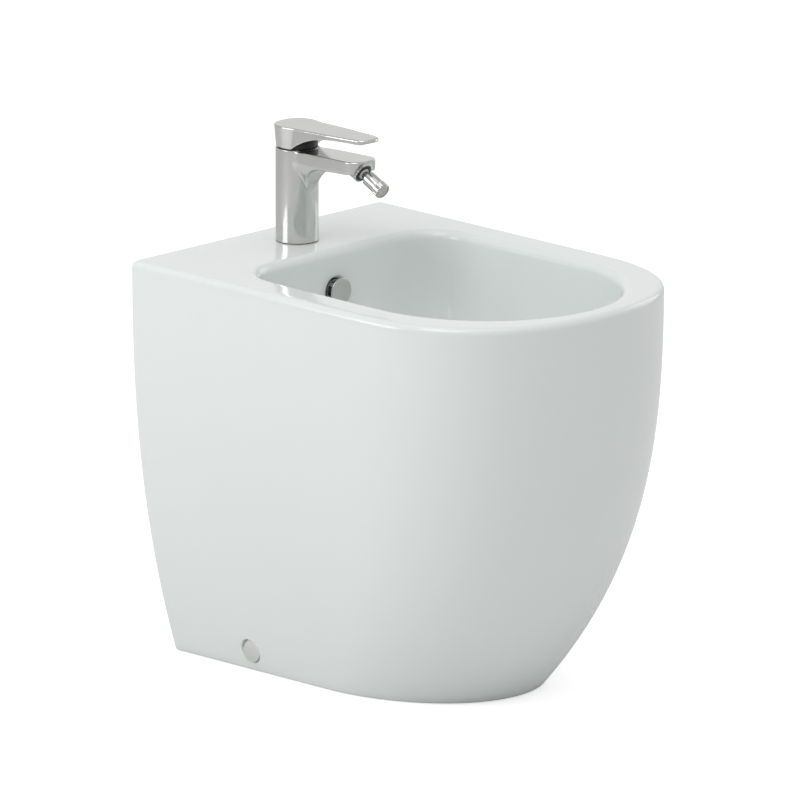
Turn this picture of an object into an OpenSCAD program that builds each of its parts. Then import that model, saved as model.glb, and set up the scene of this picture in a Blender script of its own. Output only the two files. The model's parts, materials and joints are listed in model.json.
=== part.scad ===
// Floor standing back-to-wall bidet with a single-lever tap, pop-up waste and bottle trap.
// Millimetres. X runs across the bidet, -Y faces the user, +Y is the wall, Z is up.
// The origin is on the floor, midway between the wall plane and the nose.

/* [Ceramic body] */
// Width of the body across the rim
body_w = 358; // [330:1:400]
// Depth of the body from the wall to the nose
body_l = 496; // [470:1:540]
// Height of the rim above the floor
body_h = 420; // [400:1:450]
// How far each side draws in at the floor
side_inset = 61; // [35:1:68]
// How far the nose draws in at the floor
nose_inset = 120; // [80:1:135]
// Thickness of the outer skin
skin_t = 13; // [11:0.5:14]
// Thickness of the bowl wall
bowl_t = 12; // [10:0.5:13]
// Thickness of the tap deck
deck_t = 16; // [13:0.5:20]
// Rounding of the outer edge of the rim
rim_r = 7; // [4:0.5:9]
// Width of the skin flange left round the service opening at the back
flange_w = 30; // [25:1:40]
// Depth of the closed apron above the service opening
apron_h = 76; // [60:1:100]

/* [Bowl] */
// Width of the bowl between its side walls
bowl_w = 276; // [256:1:280]
// Depth of the tap deck, from the wall to the bowl's rear wall
deck_l = 116; // [114:1:126]
// Width of the rim in front of the bowl
nose_rim = 27; // [25:1:40]
// Depth of the bowl, from the rim to the waste
bowl_d = 150; // [130:1:160]
// Rear corner radius of the bowl
bowl_corner_r = 44; // [34:1:48]
// How far each side of the bowl draws in towards its rear corners
bowl_draw = 4; // [0:0.5:6]
// Rounding of the lip round the bowl
lip_r = 9; // [5:0.5:10]
// Distance of the waste from the wall
waste_back = 245; // [235:1:255]
// Diameter of the waste hole
waste_hole_d = 46; // [44:0.5:48]
// Height of the ceramic boss round the waste hole
boss_h = 40; // [34:1:42]

/* [Overflow] */
// Diameter of the overflow hole
overflow_d = 24; // [20:0.5:26]
// Depth of the overflow centre below the rim
overflow_drop = 43; // [40:0.5:46]
// Rounding of the overflow hole's mouth
overflow_mouth_r = 7; // [4:0.5:8]
// Diameter of the overflow cover
overflow_cap_d = 28; // [27:0.5:34]
// Gap between the overflow cover and the bowl wall
overflow_gap = 5; // [4:0.5:8]

/* [Floor fixing] */
// Distance of the side fixing holes from the wall
fix_back = 118; // [100:1:130]
// Height of the side fixing holes above the floor
fix_h = 22; // [20:0.5:30]
// Diameter of the side fixing holes
fix_hole_d = 25; // [22:0.5:27]
// Diameter of the fixing screw
fix_screw_d = 6; // [5:0.5:7]
// Length of the floor bracket's foot
foot_l = 56; // [48:1:64]

/* [Tap] */
// Distance of the tap axis from the wall
tap_back = 60; // [58:0.5:62]
// Diameter of the tap hole in the deck
tap_hole_d = 35; // [33:0.5:36]
// Diameter of the tap's column
tap_d = 44; // [44:0.5:48]
// Height of the column above the deck
column_h = 98; // [92:1:110]
// Reach of the spout from the tap axis
spout_reach = 105; // [100:1:120]
// Width of the spout
spout_w = 37; // [34:0.5:42]
// Thickness of the spout at its root
spout_t = 14; // [13:0.5:15]
// Radius of the sweep from the column into the spout's underside
sweep_r = 30; // [20:1:34]
// Reach of the lever from the tap axis
lever_reach = 111; // [105:1:130]
// Height of the lever, from its skirt to its top
lever_h = 22.8; // [22:0.2:26]
// Angle of the nozzle below the horizontal
nozzle_dip = 27; // [22:1:30]
// Diameter of the nozzle's ball
ball_d = 16; // [15:0.2:16.4]
// Diameter of the nozzle's barrel
barrel_d = 15.4; // [14:0.2:17]
// Length of the nozzle from the ball centre to its end
nozzle_l = 36; // [32:1:42]
// Diameter of the mixing cartridge
cartridge_d = 35; // [34:0.5:36]

/* [Waste and trap] */
// Diameter of the waste flange
flange_d = 64; // [62:0.5:68]
// Outer diameter of the waste thread
waste_d = 41.8; // [41:0.2:42.2]
// Lift of the pop-up plug
plug_lift = 9; // [6:0.5:10]
// Diameter of the trap pipes
pipe_d = 32; // [30:0.5:34]
// Wall thickness of the pipes
pipe_t = 1.5; // [1:0.1:2]
// Diameter of the trap body
trap_d = 64; // [60:1:70]
// Length of the waste body below the bowl's floor
waste_l = 78; // [74:1:84]
// Drop from the end of the waste body to the mouth of the trap
tail_l = 38; // [30:1:44]

/* [Hidden] */
$fn = 64;

// Clearances
run = 0.05;   // running fit, per side
slip = 0.3;   // free clearance, per side
bond = 0.6;   // overlap that joins two shapes of one piece

// Ceramic colours and metals
glaze = [0.93, 0.94, 0.94];
chrome = [0.78, 0.79, 0.80];
brass = [0.78, 0.66, 0.36];
rubber = [0.16, 0.16, 0.17];
nylon = [0.90, 0.90, 0.87];
black_plastic = [0.13, 0.13, 0.135];
steel = [0.62, 0.63, 0.65];
disc_white = [0.97, 0.96, 0.92];

function lerp(a, b, t) = a + (b - a) * t;
function clamp01(t) = min(1, max(0, t));

// ---------------------------------------------------------------- ceramic body

wall_y = body_l / 2;
side_pow = 2.37;
nose_pow = 3.08;
nose_len_top = body_w / 2;
nose_len_foot = 158;
nose_exp_top = 2.38;
nose_exp_foot = 2.04;
back_edge_r = 5;
skin_edge_r = 9;

function half_w(z) = body_w / 2 - side_inset * pow(clamp01(1 - z / body_h), side_pow);
function nose_y(z) = -wall_y + nose_inset * pow(clamp01(1 - z / body_h), nose_pow);

// Points along half of a D outline, from the middle of its back to its nose
back_n = 4;
corner_n = 5;
side_n = 6;
front_n = 18;
k_corner = back_n;
k_side = k_corner + corner_n;
k_front = k_side + side_n;
half_n = k_front + front_n;
ring_n = 2 * half_n;

function d_pt(k, w, back, nose, len, ex, rc) =
    k < k_corner ? [(w - rc) * k / back_n, back] :
    k < k_side ? let (a = 90 * (k - k_corner) / corner_n)
        [w - rc + rc * sin(a), back - rc + rc * cos(a)] :
    k < k_front ? [w, lerp(back - rc, nose + len, (k - k_side) / side_n)] :
    let (a = 90 * (k - k_front) / front_n)
        [w * pow(max(0, cos(a)), 2 / ex), nose + len - len * pow(sin(a), 2 / ex)];

// The skin's outline at height z, drawn in by e
function skin_pt(k, z, e, rc) =
    let (t = clamp01(1 - z / body_h))
    d_pt(k, half_w(z) - e, wall_y - e, nose_y(z) + e,
         lerp(nose_len_top, nose_len_foot, t) - e, lerp(nose_exp_top, nose_exp_foot, t), rc);

bowl_back = wall_y - deck_l;
bowl_nose = -wall_y + nose_rim;
bowl_len = 145;
bowl_exp = 2.0;
waste_y = wall_y - waste_back;
bowl_pow = 2.6;
seat_r = flange_d / 2 + 4;
lip_z = body_h - lip_r;
floor_z = body_h - bowl_d;
floor_fall = 8;
boss_z = floor_z - boss_h;
boss_r = flange_d / 2 + 12;
pilot_r = 16;

// The bowl's opening, spread outwards by e and slightly narrower at the rear
function bowl_pt(k, e) =
    let (p = d_pt(k, bowl_w / 2 + e, bowl_back + e, bowl_nose - e, bowl_len + e, bowl_exp,
                  bowl_corner_r + e),
         s = clamp01((p.y - bowl_nose - bowl_len) / (bowl_back - bowl_nose - bowl_len)))
    [p.x * (1 - 2 * bowl_draw / bowl_w * s * s), p.y];

// One meridian of the bowl, for a wall that starts r from the waste axis: [radius, height]
function meridian(r, a) =
    let (f = pow(cos(a), 2 / bowl_pow), g = pow(sin(a), 2 / bowl_pow))
    [seat_r + (r - seat_r) * f, lip_z - (lip_z - floor_z - floor_fall) * g - floor_fall * (1 - f)];

// The same meridian moved d out of the bowl, square to its surface
function outside(r, a, d) =
    let (p = meridian(r, a - 1), q = meridian(r, a + 1), t = (q - p) / norm(q - p))
    meridian(r, a) + d * [-t.y, t.x];

function bowl_r(k) = norm(bowl_pt(k, 0) - [0, waste_y]);
function on_meridian(k, m) =
    let (u = (bowl_pt(k, 0) - [0, waste_y]) / bowl_r(k))
    [u.x * m.x, waste_y + u.y * m.x, m.y];

// Roof of the hollow between bowl and skin: level under the deck, lower towards the nose
nose_drop = 80;
function roof_z(k) =
    let (s = clamp01((bowl_nose + bowl_len - bowl_pt(k, 0).y) / bowl_len))
    body_h - deck_t - nose_drop * s * s;
function roof_angle(k) =
    max(1.3, asin(pow(clamp01((lip_z - roof_z(k)) / (lip_z - floor_z)), bowl_pow / 2)));

outer_levels = [0, 0.028, 0.066, 0.12, 0.19, 0.275, 0.37, 0.48, 0.61, 0.77];
arc_n = 4;
bowl_angles = [4, 10, 18, 27, 37, 47, 57, 67, 77, 84, 90];
under_n = 8;
under_start = 84;
inner_n = 5;

function half_ring(kind, j) = [for (k = [0:half_n])
    kind == "skin" ? let (z = outer_levels[j] * body_h)
        concat(skin_pt(k, z, 0, back_edge_r), z) :
    kind == "rim" ? let (a = 90 * j / arc_n)
        concat(skin_pt(k, body_h - rim_r, rim_r * (1 - cos(a)), back_edge_r),
               body_h - rim_r * (1 - sin(a))) :
    kind == "lip" ? let (a = 90 * j / arc_n)
        concat(bowl_pt(k, lip_r * (1 - sin(a))), body_h - lip_r * (1 - cos(a))) :
    kind == "bowl" ? on_meridian(k, meridian(bowl_r(k), bowl_angles[j])) :
    kind == "pilot" ? on_meridian(k, [pilot_r, j == 0 ? floor_z : boss_z]) :
    kind == "boss" ? on_meridian(k, [boss_r, j == 0 ? boss_z : floor_z - bowl_t]) :
    kind == "under" ?
        let (m = outside(bowl_r(k), lerp(under_start, roof_angle(k), j / under_n), bowl_t))
        on_meridian(k, [m.x, j == under_n ? roof_z(k) : m.y]) :
    let (z = lerp(roof_z(k), 0, j / inner_n))
        concat(skin_pt(k, z, skin_t, skin_edge_r), z)
];

// A half ring and its mirror image make one closed ring
function ring(kind, j) = let (h = half_ring(kind, j))
    concat(h, [for (k = [half_n - 1:-1:1]) [-h[k].x, h[k].y, h[k].z]]);

body_rings = concat(
    [for (j = [0:len(outer_levels) - 1]) ring("skin", j)],
    [for (j = [0:arc_n]) ring("rim", j)],
    [for (j = [0:arc_n]) ring("lip", j)],
    [for (j = [0:len(bowl_angles) - 1]) ring("bowl", j)],
    [for (j = [0:1]) ring("pilot", j)],
    [for (j = [0:1]) ring("boss", j)],
    [for (j = [0:under_n]) ring("under", j)],
    [for (j = [0:inner_n]) ring("inner", j)]
);

// A closed skin through rings that come back to the first one
module ring_loft(rings) {
    n = len(rings[0]);
    m = len(rings);
    polyhedron(
        points = [for (r = rings) for (p = r) p],
        faces = [for (j = [0:m - 1]) for (k = [0:n - 1])
            let (a = j * n + k, b = j * n + (k + 1) % n,
                 c = ((j + 1) % m) * n + (k + 1) % n, d = ((j + 1) % m) * n + k)
            for (f = k < n / 2 ? [[a, b, c], [a, c, d]] : [[a, b, d], [b, c, d]]) f]
    );
}

// Profiles drawn in the plane X = 0 as [y, z] and extruded w wide across X
module across(w) {
    translate([-w / 2, 0, 0]) rotate([90, 0, 90]) linear_extrude(w) children();
}

overflow_z = body_h - overflow_drop;
duct_d = 9;
duct_skin = 7;
duct_w = overflow_d + 4;
duct_angles = [3.2, 8, 14, 22, 31, 41, 51, 62, 74, 84];
function rear_r() = bowl_back - waste_y;
function duct_line(first, d) = [for (j = [0:len(duct_angles) - 1])
    let (p = outside(rear_r(), j == 0 ? first : duct_angles[j], d)) [waste_y + p.x, p.y]];
function turned(list) = [for (j = [len(list) - 1:-1:0]) list[j]];

// The overflow duct's outside: a band that follows the rear wall down to the waste boss
module duct_band() {
    outer = duct_line(3.2, bowl_t + duct_d + duct_skin);
    polygon(concat(duct_line(3.2, bowl_t / 2), [[waste_y + pilot_r + 8, floor_z - bowl_t / 2]],
                   [[waste_y + pilot_r + 8, outer[len(outer) - 1].y]], turned(outer)));
}

module duct_void() {
    inner = duct_line(4.4, bowl_t);
    outer = duct_line(4.4, bowl_t + duct_d);
    polygon(concat(inner, [[waste_y + pilot_r, inner[len(inner) - 1].y]],
                   [[waste_y + pilot_r, outer[len(outer) - 1].y]], turned(outer)));
}

// The service opening in the back, which follows the flare of the sides
service_top = body_h - apron_h;
service_r = 32;
service_steps = 8;
function service_half(z) = half_w(z) - flange_w;
module service_opening() {
    side = [for (j = [0:service_steps]) let (z = (service_top - service_r) * j / service_steps)
        [service_half(z), z]];
    corner = [for (a = [15:15:90])
        [service_half(service_top) - service_r * (1 - cos(a)), service_top - service_r * (1 - sin(a))]];
    right = concat([[service_half(0), -1]], side, corner);
    polygon(concat(right, [for (j = [len(right) - 1:-1:0]) [-right[j].x, right[j].y]]));
}

recess_depth = 3.6;
module ceramic_body() color(glaze) difference() {
    union() {
        ring_loft(body_rings);
        across(duct_w + 2 * duct_skin) duct_band();
    }
    across(duct_w) duct_void();
    translate([0, waste_y, boss_z - 1]) cylinder(d = waste_hole_d, h = boss_h + 2);
    translate([0, waste_y, floor_z - recess_depth]) cylinder(r = flange_d / 2 + 1, h = bowl_d / 4);
    translate([0, tap_y, body_h - deck_t - 1]) cylinder(d = tap_hole_d, h = deck_t + 2);
    translate([0, bowl_back + bowl_t + duct_d / 2, overflow_z]) rotate([90, 0, 0])
        cylinder(d = overflow_d, h = bowl_t + duct_d / 2 + 12);
    at_overflow() rotate_extrude() polygon(concat(
        [[0, -overflow_mouth_r], [overflow_d / 2, -overflow_mouth_r]],
        [for (a = [15:15:90]) [overflow_d / 2 + overflow_mouth_r * (1 - cos(a)),
                               -overflow_mouth_r * (1 - sin(a))]],
        [[overflow_d / 2 + overflow_mouth_r + 6, 4], [0, 4]]));
    translate([0, wall_y + 1, 0]) rotate([90, 0, 0]) linear_extrude(skin_t + 6) service_opening();
    at_fixings() translate([0, 0, -skin_t - 14]) cylinder(d = fix_hole_d, h = skin_t + 22);
}

// ---------------------------------------------------------------- overflow

cap_t = 2.5;
overflow_angle = asin(pow((lip_z - overflow_z) / (lip_z - floor_z - floor_fall), bowl_pow / 2));
overflow_wall_y = waste_y + meridian(rear_r(), overflow_angle).x;

// Places things on the overflow's axis: z = 0 on the bowl wall, +z out into the bowl
module at_overflow() {
    translate([0, overflow_wall_y, overflow_z]) rotate([90, 0, 0]) children();
}

grip_t = 1.2;
sleeve_back = bowl_t + 3;
sleeve_r = overflow_d / 2 - grip_t - 0.1;
module overflow_cover() color(chrome) at_overflow() difference() {
    union() {
        translate([0, 0, overflow_gap]) rotate_extrude() polygon([
            [0, 0], [overflow_cap_d / 2 - 0.6, 0], [overflow_cap_d / 2, 0.6],
            [overflow_cap_d / 2, cap_t - 0.9], [overflow_cap_d / 2 - 0.9, cap_t - 0.2],
            [overflow_cap_d / 4, cap_t + 0.4], [0, cap_t + 0.5]]);
        for (a = [45:90:315]) rotate(a) translate([sleeve_r - 2.6, -2, -3])
            cube([2.4, 4, overflow_gap + 3 + bond]);
        translate([0, 0, -sleeve_back]) cylinder(r = sleeve_r, h = sleeve_back - 3);
    }
    translate([0, 0, -sleeve_back - 1]) cylinder(r = sleeve_r - 1.6, h = sleeve_back + 1);
}

// Rubber ring that grips the hole round the cover's sleeve
module overflow_grip_ring() color(rubber) at_overflow()
    translate([0, 0, -sleeve_back + 1])
        tube(overflow_d / 2 - run, sleeve_r + run, sleeve_back - 2 - overflow_mouth_r);

module tube(r_out, r_in, h) {
    difference() {
        cylinder(r = r_out, h = h);
        translate([0, 0, -1]) cylinder(r = r_in, h = h + 2);
    }
}

// ---------------------------------------------------------------- floor fixings

fix_y = wall_y - fix_back;
fix_x = half_w(fix_h);
bracket_x = half_w(0) - skin_t - 2.5;
bush_l = fix_x - bracket_x - 4;
bush_r = fix_hole_d / 2 - slip;
head_r = fix_screw_d * 0.95;
well_depth = 7;
bracket_w = 38;
bracket_t = 11;
bracket_h = fix_h + 18;
foot_t = 6;
floor_hole_d = 9;
floor_hole_x = bracket_x - foot_l * 0.66;

// Both fixing holes: z = 0 on the side's face, +z straight out of the side
module at_fixings() {
    for (s = [-1, 1]) translate([s * fix_x, fix_y, fix_h]) rotate([0, s * 90, 0]) children();
}

module fixing_caps() color(chrome) at_fixings() difference() {
    rotate_extrude() polygon([
        [0, -3.6], [bush_r - 0.7, -3.6], [bush_r, -3.0], [bush_r, -1.6], [bush_r - 0.8, -0.9],
        [bush_r * 0.6, -0.2], [bush_r * 0.3, 0.1], [0, 0.2]]);
    translate([0, 0, -4]) cylinder(r = bush_r - 5, h = 1);
}

module fixing_bushes() color(nylon) at_fixings() difference() {
    translate([0, 0, -4 - bush_l]) cylinder(r = bush_r, h = bush_l);
    translate([0, 0, -5 - bush_l]) cylinder(r = fix_screw_d / 2 + slip, h = bush_l + 2);
    translate([0, 0, -4 - well_depth]) cylinder(r = head_r + 1.5, h = well_depth + 1);
}

module fixing_screws() color(steel) at_fixings() difference() {
    union() {
        translate([0, 0, -4 - well_depth]) rotate_extrude() polygon([
            [0, 0], [head_r, 0], [head_r, 1.6], [head_r * 0.8, 3], [0, 3.6]]);
        translate([0, 0, -4 - bush_l - bracket_t - 6])
            cylinder(d = fix_screw_d, h = bush_l + bracket_t + 6 - well_depth + bond);
    }
    translate([0, 0, -4 - well_depth + 2]) {
        translate([-0.5, -head_r * 0.6, 0]) cube([1, head_r * 1.2, 3]);
        translate([-head_r * 0.6, -0.5, 0]) cube([head_r * 1.2, 1, 3]);
    }
}

// An angle bracket each side: the foot takes a floor screw, the upright takes the side screw
module floor_brackets() color(nylon) for (s = [-1, 1]) scale_x(s) difference() {
    union() {
        translate([bracket_x - bracket_t, fix_y - bracket_w / 2, 0]) cube([bracket_t, bracket_w, bracket_h]);
        translate([bracket_x - foot_l, fix_y - bracket_w / 2, 0])
            cube([foot_l - bracket_t + bond, bracket_w, foot_t]);
        for (side = [-1, 1]) translate([0, fix_y + side * (bracket_w / 2 - 2), 0]) across_y(4)
            polygon([[bracket_x - foot_l + 6, foot_t - bond], [bracket_x - bracket_t + bond, foot_t - bond],
                     [bracket_x - bracket_t + bond, bracket_h - 4]]);
    }
    translate([bracket_x - bracket_t - 1, fix_y, fix_h]) rotate([0, 90, 0])
        cylinder(d = fix_screw_d + 2 * run, h = bracket_t + 2);
    translate([floor_hole_x, fix_y, -1]) cylinder(d = floor_hole_d, h = foot_t + 2);
}

module scale_x(s) {
    if (s > 0) children();
    else mirror([1, 0, 0]) children();
}

// Profiles drawn as [x, z] and extruded w deep across Y
module across_y(w) {
    translate([0, w / 2, 0]) rotate([90, 0, 0]) linear_extrude(w) children();
}

// ---------------------------------------------------------------- waste

waste_r = waste_d / 2;
bore_r = waste_r - 2.5;
flange_t = 2.5;
gasket_t = recess_depth - flange_t;
tube_end = floor_z - waste_l;
hub_z = floor_z - 38;
hub_r = 10;
hub_t = 4;
click_r = 8.5;
click_in = 6.3;
click_top = floor_z - 4;
throat_r = bore_r + 2;

module at_waste(z = 0) {
    translate([0, waste_y, z]) children();
}

module waste_body() color(chrome) at_waste() difference() {
    union() {
        rotate_extrude() polygon([
            [bore_r, tube_end], [waste_r, tube_end], [waste_r, floor_z - flange_t],
            [flange_d / 2, floor_z - flange_t], [flange_d / 2, floor_z - 0.8],
            [flange_d / 2 - 0.8, floor_z], [throat_r, floor_z - 0.5], [bore_r, floor_z - 7]]);
        translate([0, 0, hub_z]) cylinder(r = hub_r, h = hub_t);
        for (a = [90:120:330]) rotate(a) translate([hub_r - bond, -1.6, hub_z])
            cube([bore_r - hub_r + 2 * bond, 3.2, hub_t]);
    }
    translate([0, 0, hub_z - 1]) cylinder(r = 4 + run, h = hub_t + 2);
    for (a = [90:120:330]) rotate(a) translate([bore_r - 2, -7, hub_z + hub_t + 4])
        cube([waste_r - bore_r + 4, 14, 13]);
}

module waste_flange_gasket() color(rubber)
    at_waste(floor_z - recess_depth) tube(flange_d / 2 - 1, waste_r + slip, gasket_t);

under_t = 6;
module waste_under_gasket() color(rubber) at_waste(boss_z - under_t) rotate_extrude() polygon([
    [waste_r + slip, 0], [boss_r - 10, 0], [boss_r - 7, under_t], [waste_r + slip, under_t]]);

washer_t = 1.5;
module waste_washer() color(nylon)
    at_waste(boss_z - under_t - washer_t) tube(boss_r - 9, waste_r + slip, washer_t);

nut_t = 13;
module waste_nut() color(brass) at_waste(boss_z - under_t - washer_t - nut_t) difference() {
    union() {
        cylinder(r = boss_r - 12, h = nut_t - 3, $fn = 6);
        translate([0, 0, nut_t - 3 - bond]) cylinder(r = boss_r - 12, h = 3 + bond);
    }
    translate([0, 0, -1]) cylinder(r = waste_r + run, h = nut_t + 2);
}

pipe_r = pipe_d / 2;
spigot_h = 10;
collar_h = 5;
neck_h = 12;
outlet_drop = 24;
trap_top = tube_end - tail_l - neck_h;
outlet_h = trap_top - outlet_drop;
dip_l = 34;
dip_end = outlet_h - dip_l;
module tailpiece() color(chrome) at_waste() rotate_extrude() polygon([
    [pipe_r - pipe_t, dip_end], [pipe_r, dip_end], [pipe_r, tube_end - 1 - collar_h],
    [waste_r, tube_end - 1 - collar_h], [waste_r, tube_end - 1], [bore_r - run, tube_end - 1],
    [bore_r - run, tube_end + spigot_h], [pipe_r - pipe_t, tube_end + spigot_h]]);

module tailpiece_seal() color(rubber) at_waste(tube_end - 1) tube(waste_r - 0.4, bore_r + run, 1);

// Click cartridge: a housing on the waste's hub, a spring and the plug's stem
stem_r = 2.5;
click_floor = hub_z + hub_t + 2;
collar_z = click_top - 2.4 - plug_lift - 2.5;
module click_housing() color(nylon) at_waste() difference() {
    union() {
        translate([0, 0, hub_z + hub_t]) cylinder(r = click_r, h = click_top - hub_z - hub_t);
        translate([0, 0, hub_z - 1]) cylinder(r = 4, h = hub_t + 1 + bond);
    }
    translate([0, 0, click_floor]) cylinder(r = click_in, h = click_top - 2 - click_floor);
    translate([0, 0, click_floor]) cylinder(r = stem_r + run, h = click_top);
}

spring_turns = 5;
spring_wire = 0.9;
spring_r = 4.4;
spring_sides = 6;
spring_steps = 10;
spring_lo = click_floor + spring_wire + 0.1;
spring_hi = collar_z - spring_wire - 0.1;

// A round wire wound as a helix, with closed ends
module click_spring() color(steel) at_waste() {
    n = spring_turns * spring_steps;
    points = [for (j = [0:n]) for (i = [0:spring_sides - 1])
        let (a = 360 * j / spring_steps, b = 360 * i / spring_sides, r = spring_r + spring_wire * cos(b) / 1.2)
        [r * cos(a), r * sin(a), lerp(spring_lo, spring_hi, j / n) + spring_wire * sin(b)]];
    sides = [for (j = [0:n - 1]) for (i = [0:spring_sides - 1])
        let (a = j * spring_sides + i, b = j * spring_sides + (i + 1) % spring_sides)
        for (f = [[a, b + spring_sides, b], [a, a + spring_sides, b + spring_sides]]) f];
    start = [for (i = [1:spring_sides - 2]) [0, i, i + 1]];
    last = n * spring_sides;
    end = [for (i = [1:spring_sides - 2]) [last, last + i + 1, last + i]];
    polyhedron(points = points, faces = concat(sides, start, end));
}

plug_gap = 0.3;
plug_r = flange_d / 2 - 1;
plug_base = floor_z + plug_gap;
module plug_stem() color(steel) at_waste() {
    translate([0, 0, click_floor + 1]) cylinder(r = stem_r, h = plug_base + 1.5 - click_floor - 1);
    translate([0, 0, collar_z]) cylinder(r = click_in - slip, h = 2.2);
}

module plug_cap() color(chrome) at_waste() difference() {
    rotate_extrude() polygon([
        [0, plug_base], [plug_r - 0.8, plug_base], [plug_r, plug_base + 0.8],
        for (a = [0:15:90]) [plug_r - 3 + 3 * cos(a) - (a == 90 ? 3 : 0), plug_base + 2.4 + 2.2 * sin(a)],
        [plug_r * 0.6, plug_base + 5.6], [plug_r * 0.3, plug_base + 6.3], [0, plug_base + 6.6]]);
    translate([0, 0, plug_base - 1]) cylinder(r = stem_r + run, h = 2.5 + run);
}

module plug_seal() color(rubber) at_waste() rotate_extrude() polygon([
    [click_r + 2, plug_base - 2.6], [throat_r - 1.4, plug_base - 2.6], [throat_r - 0.8, plug_base - 0.8],
    [throat_r + 1, plug_base], [click_r + 2, plug_base]]);

// ---------------------------------------------------------------- bottle trap

trap_r = trap_d / 2;
trap_t = 3;
trap_depth = 48;
trap_low = outlet_h - trap_depth;
wall_in = 12;
neck_r = pipe_r + 6;
nut_r = neck_r + 5;
cup_h = 26;

// A union nut: ribbed outside, bored for the pipe, hollow for the neck and its seal
module union_nut(h) {
    difference() {
        union() {
            cylinder(r = nut_r - 0.8, h = h);
            for (a = [0:30:330]) rotate(a) translate([nut_r - 1.6, -1.6, 1.5]) cube([1.6, 3.2, h - 3]);
        }
        translate([0, 0, -1]) cylinder(r = neck_r + run, h = h - 2);
        translate([0, 0, h - 4]) cylinder(r = pipe_r + slip, h = 5);
    }
}

// The cone seal that the nut presses against the neck's mouth
module cone_seal(h) {
    rotate_extrude() polygon([
        [pipe_r + run, 0], [neck_r - 0.4, 0], [neck_r - 0.4, h * 0.6], [pipe_r + 2.5, h], [pipe_r + run, h]]);
}

seal_h = 3.6;
nut_h = 17;
module trap_inlet_seal() color(rubber) at_waste(trap_top + neck_h) cone_seal(seal_h);
module trap_inlet_nut() color(chrome)
    at_waste(trap_top + neck_h + seal_h + 0.2 + 3 - nut_h) union_nut(nut_h);

module trap_body() color(chrome) at_waste() difference() {
    union() {
        rotate_extrude() polygon([
            [0, trap_low], [trap_r, trap_low], [trap_r, trap_top - 8], [trap_r - 3, trap_top - 2.5],
            [trap_r - 8, trap_top], [neck_r, trap_top], [neck_r, trap_top + neck_h], [0, trap_top + neck_h]]);
        translate([0, trap_r - 8, outlet_h]) rotate([-90, 0, 0]) cylinder(r = neck_r, h = 8 + outlet_neck);
    }
    translate([0, 0, trap_low - 1]) cylinder(r = trap_r - trap_t, h = trap_top - trap_low + 1 - trap_t);
    translate([0, 0, trap_top - trap_t - 1]) cylinder(r = pipe_r + slip, h = neck_h + trap_t + 2);
    translate([0, trap_r - wall_in, outlet_h]) rotate([-90, 0, 0])
        cylinder(r = pipe_r + slip, h = wall_in + 2 + outlet_neck);
}

outlet_neck = 16;
outlet_face = waste_y + trap_r + outlet_neck;
module trap_outlet_seal() color(rubber)
    translate([0, outlet_face, outlet_h]) rotate([-90, 0, 0]) cone_seal(seal_h);
module trap_outlet_nut() color(chrome)
    translate([0, outlet_face + seal_h + 0.2 + 3 - nut_h, outlet_h]) rotate([-90, 0, 0]) union_nut(nut_h);
pipe_start = outlet_face - outlet_neck + 2;
bead = outlet_face + seal_h + 3.7 - pipe_start;
module trap_outlet_pipe() color(chrome)
    translate([0, pipe_start, outlet_h]) rotate([-90, 0, 0]) rotate_extrude() polygon([
        [pipe_r - pipe_t, 0], [pipe_r, 0], [pipe_r, bead], [pipe_r + 1, bead + 0.8], [pipe_r + 1, bead + 2.2],
        [pipe_r, bead + 3], [pipe_r, wall_y - pipe_start], [pipe_r - pipe_t, wall_y - pipe_start]]);

cup_seal_t = 2;
module trap_cup_seal() color(rubber)
    at_waste(trap_low - cup_seal_t) tube(trap_r - 0.3, trap_r - trap_t, cup_seal_t);
module trap_cup() color(chrome) at_waste(trap_low - cup_seal_t - cup_h + 12) difference() {
    union() {
        rotate_extrude() polygon([
            [0, 0], [trap_r - 8, 0], [trap_r - 1, 3], [trap_r + 3, 8], [trap_r + 3, cup_h], [0, cup_h]]);
        for (a = [0:20:340]) rotate(a) translate([trap_r + 2, -1.5, 9]) cube([2.2, 3, cup_h - 11]);
    }
    translate([0, 0, cup_h - 12]) cylinder(r = trap_r + run, h = 13);
    translate([0, 0, 3]) cylinder(r = trap_r - trap_t, h = cup_h);
}

// ---------------------------------------------------------------- tap

tap_y = wall_y - tap_back;
tap_r = tap_d / 2;
base_t = 0.8;
cart_r = cartridge_d / 2;
well_r = cart_r + 0.1;
pivot_z = column_h - 16;
base_z = pivot_z - 30;
disc_z = base_z + 5;
shoulder_z = pivot_z + 6;
nut_well_r = cart_r + 2.05;
port_x = 6.4;
port_y = -4.2;
port_r = 4.6;
port_l = 14;
valve_r = 2.4;
outlet_y = 5.5;
chamber_r = cart_r + 2.4;
stud_r = 4;
stud_y = 9.5;

// Places things on the tap's axis: z = 0 on the deck, -y towards the nozzle
module at_tap(z = 0) {
    translate([0, tap_y, body_h + z]) children();
}

ball_r = ball_d / 2;
socket_r = ball_r + 1.4;
boss_out = socket_r + 1.5;
seat_in = 5.6;
ball_back = spout_reach - 13;
ball_z = column_h - 10.2;
mouth = 4;
spout_rise = 2.2;
nose_thin = 2.5;

// Places things on the nozzle's axis: z = 0 at the ball centre, +z out of the spout
module at_ball() {
    at_tap(ball_z) translate([0, -ball_back, 0]) rotate([90 + nozzle_dip, 0, 0]) children();
}

// The spout seen from the side: level root, rising top, mouth face square to the nozzle
spout_low = column_h - spout_t;
module spout_side() {
    face = [-ball_back - mouth * cos(nozzle_dip), ball_z - mouth * sin(nozzle_dip)];
    lean = tan(nozzle_dip);
    nose_low = spout_low + nose_thin;
    polygon(concat(
        [[0, column_h], [face.x - (column_h + spout_rise - face.y) * lean, column_h + spout_rise],
         [face.x + (face.y - nose_low) * lean, nose_low]],
        [for (a = [0:10:90]) [-tap_r - sweep_r + sweep_r * sin(a), spout_low - sweep_r * (1 - cos(a))]],
        [[0, spout_low - sweep_r]]));
}

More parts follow.
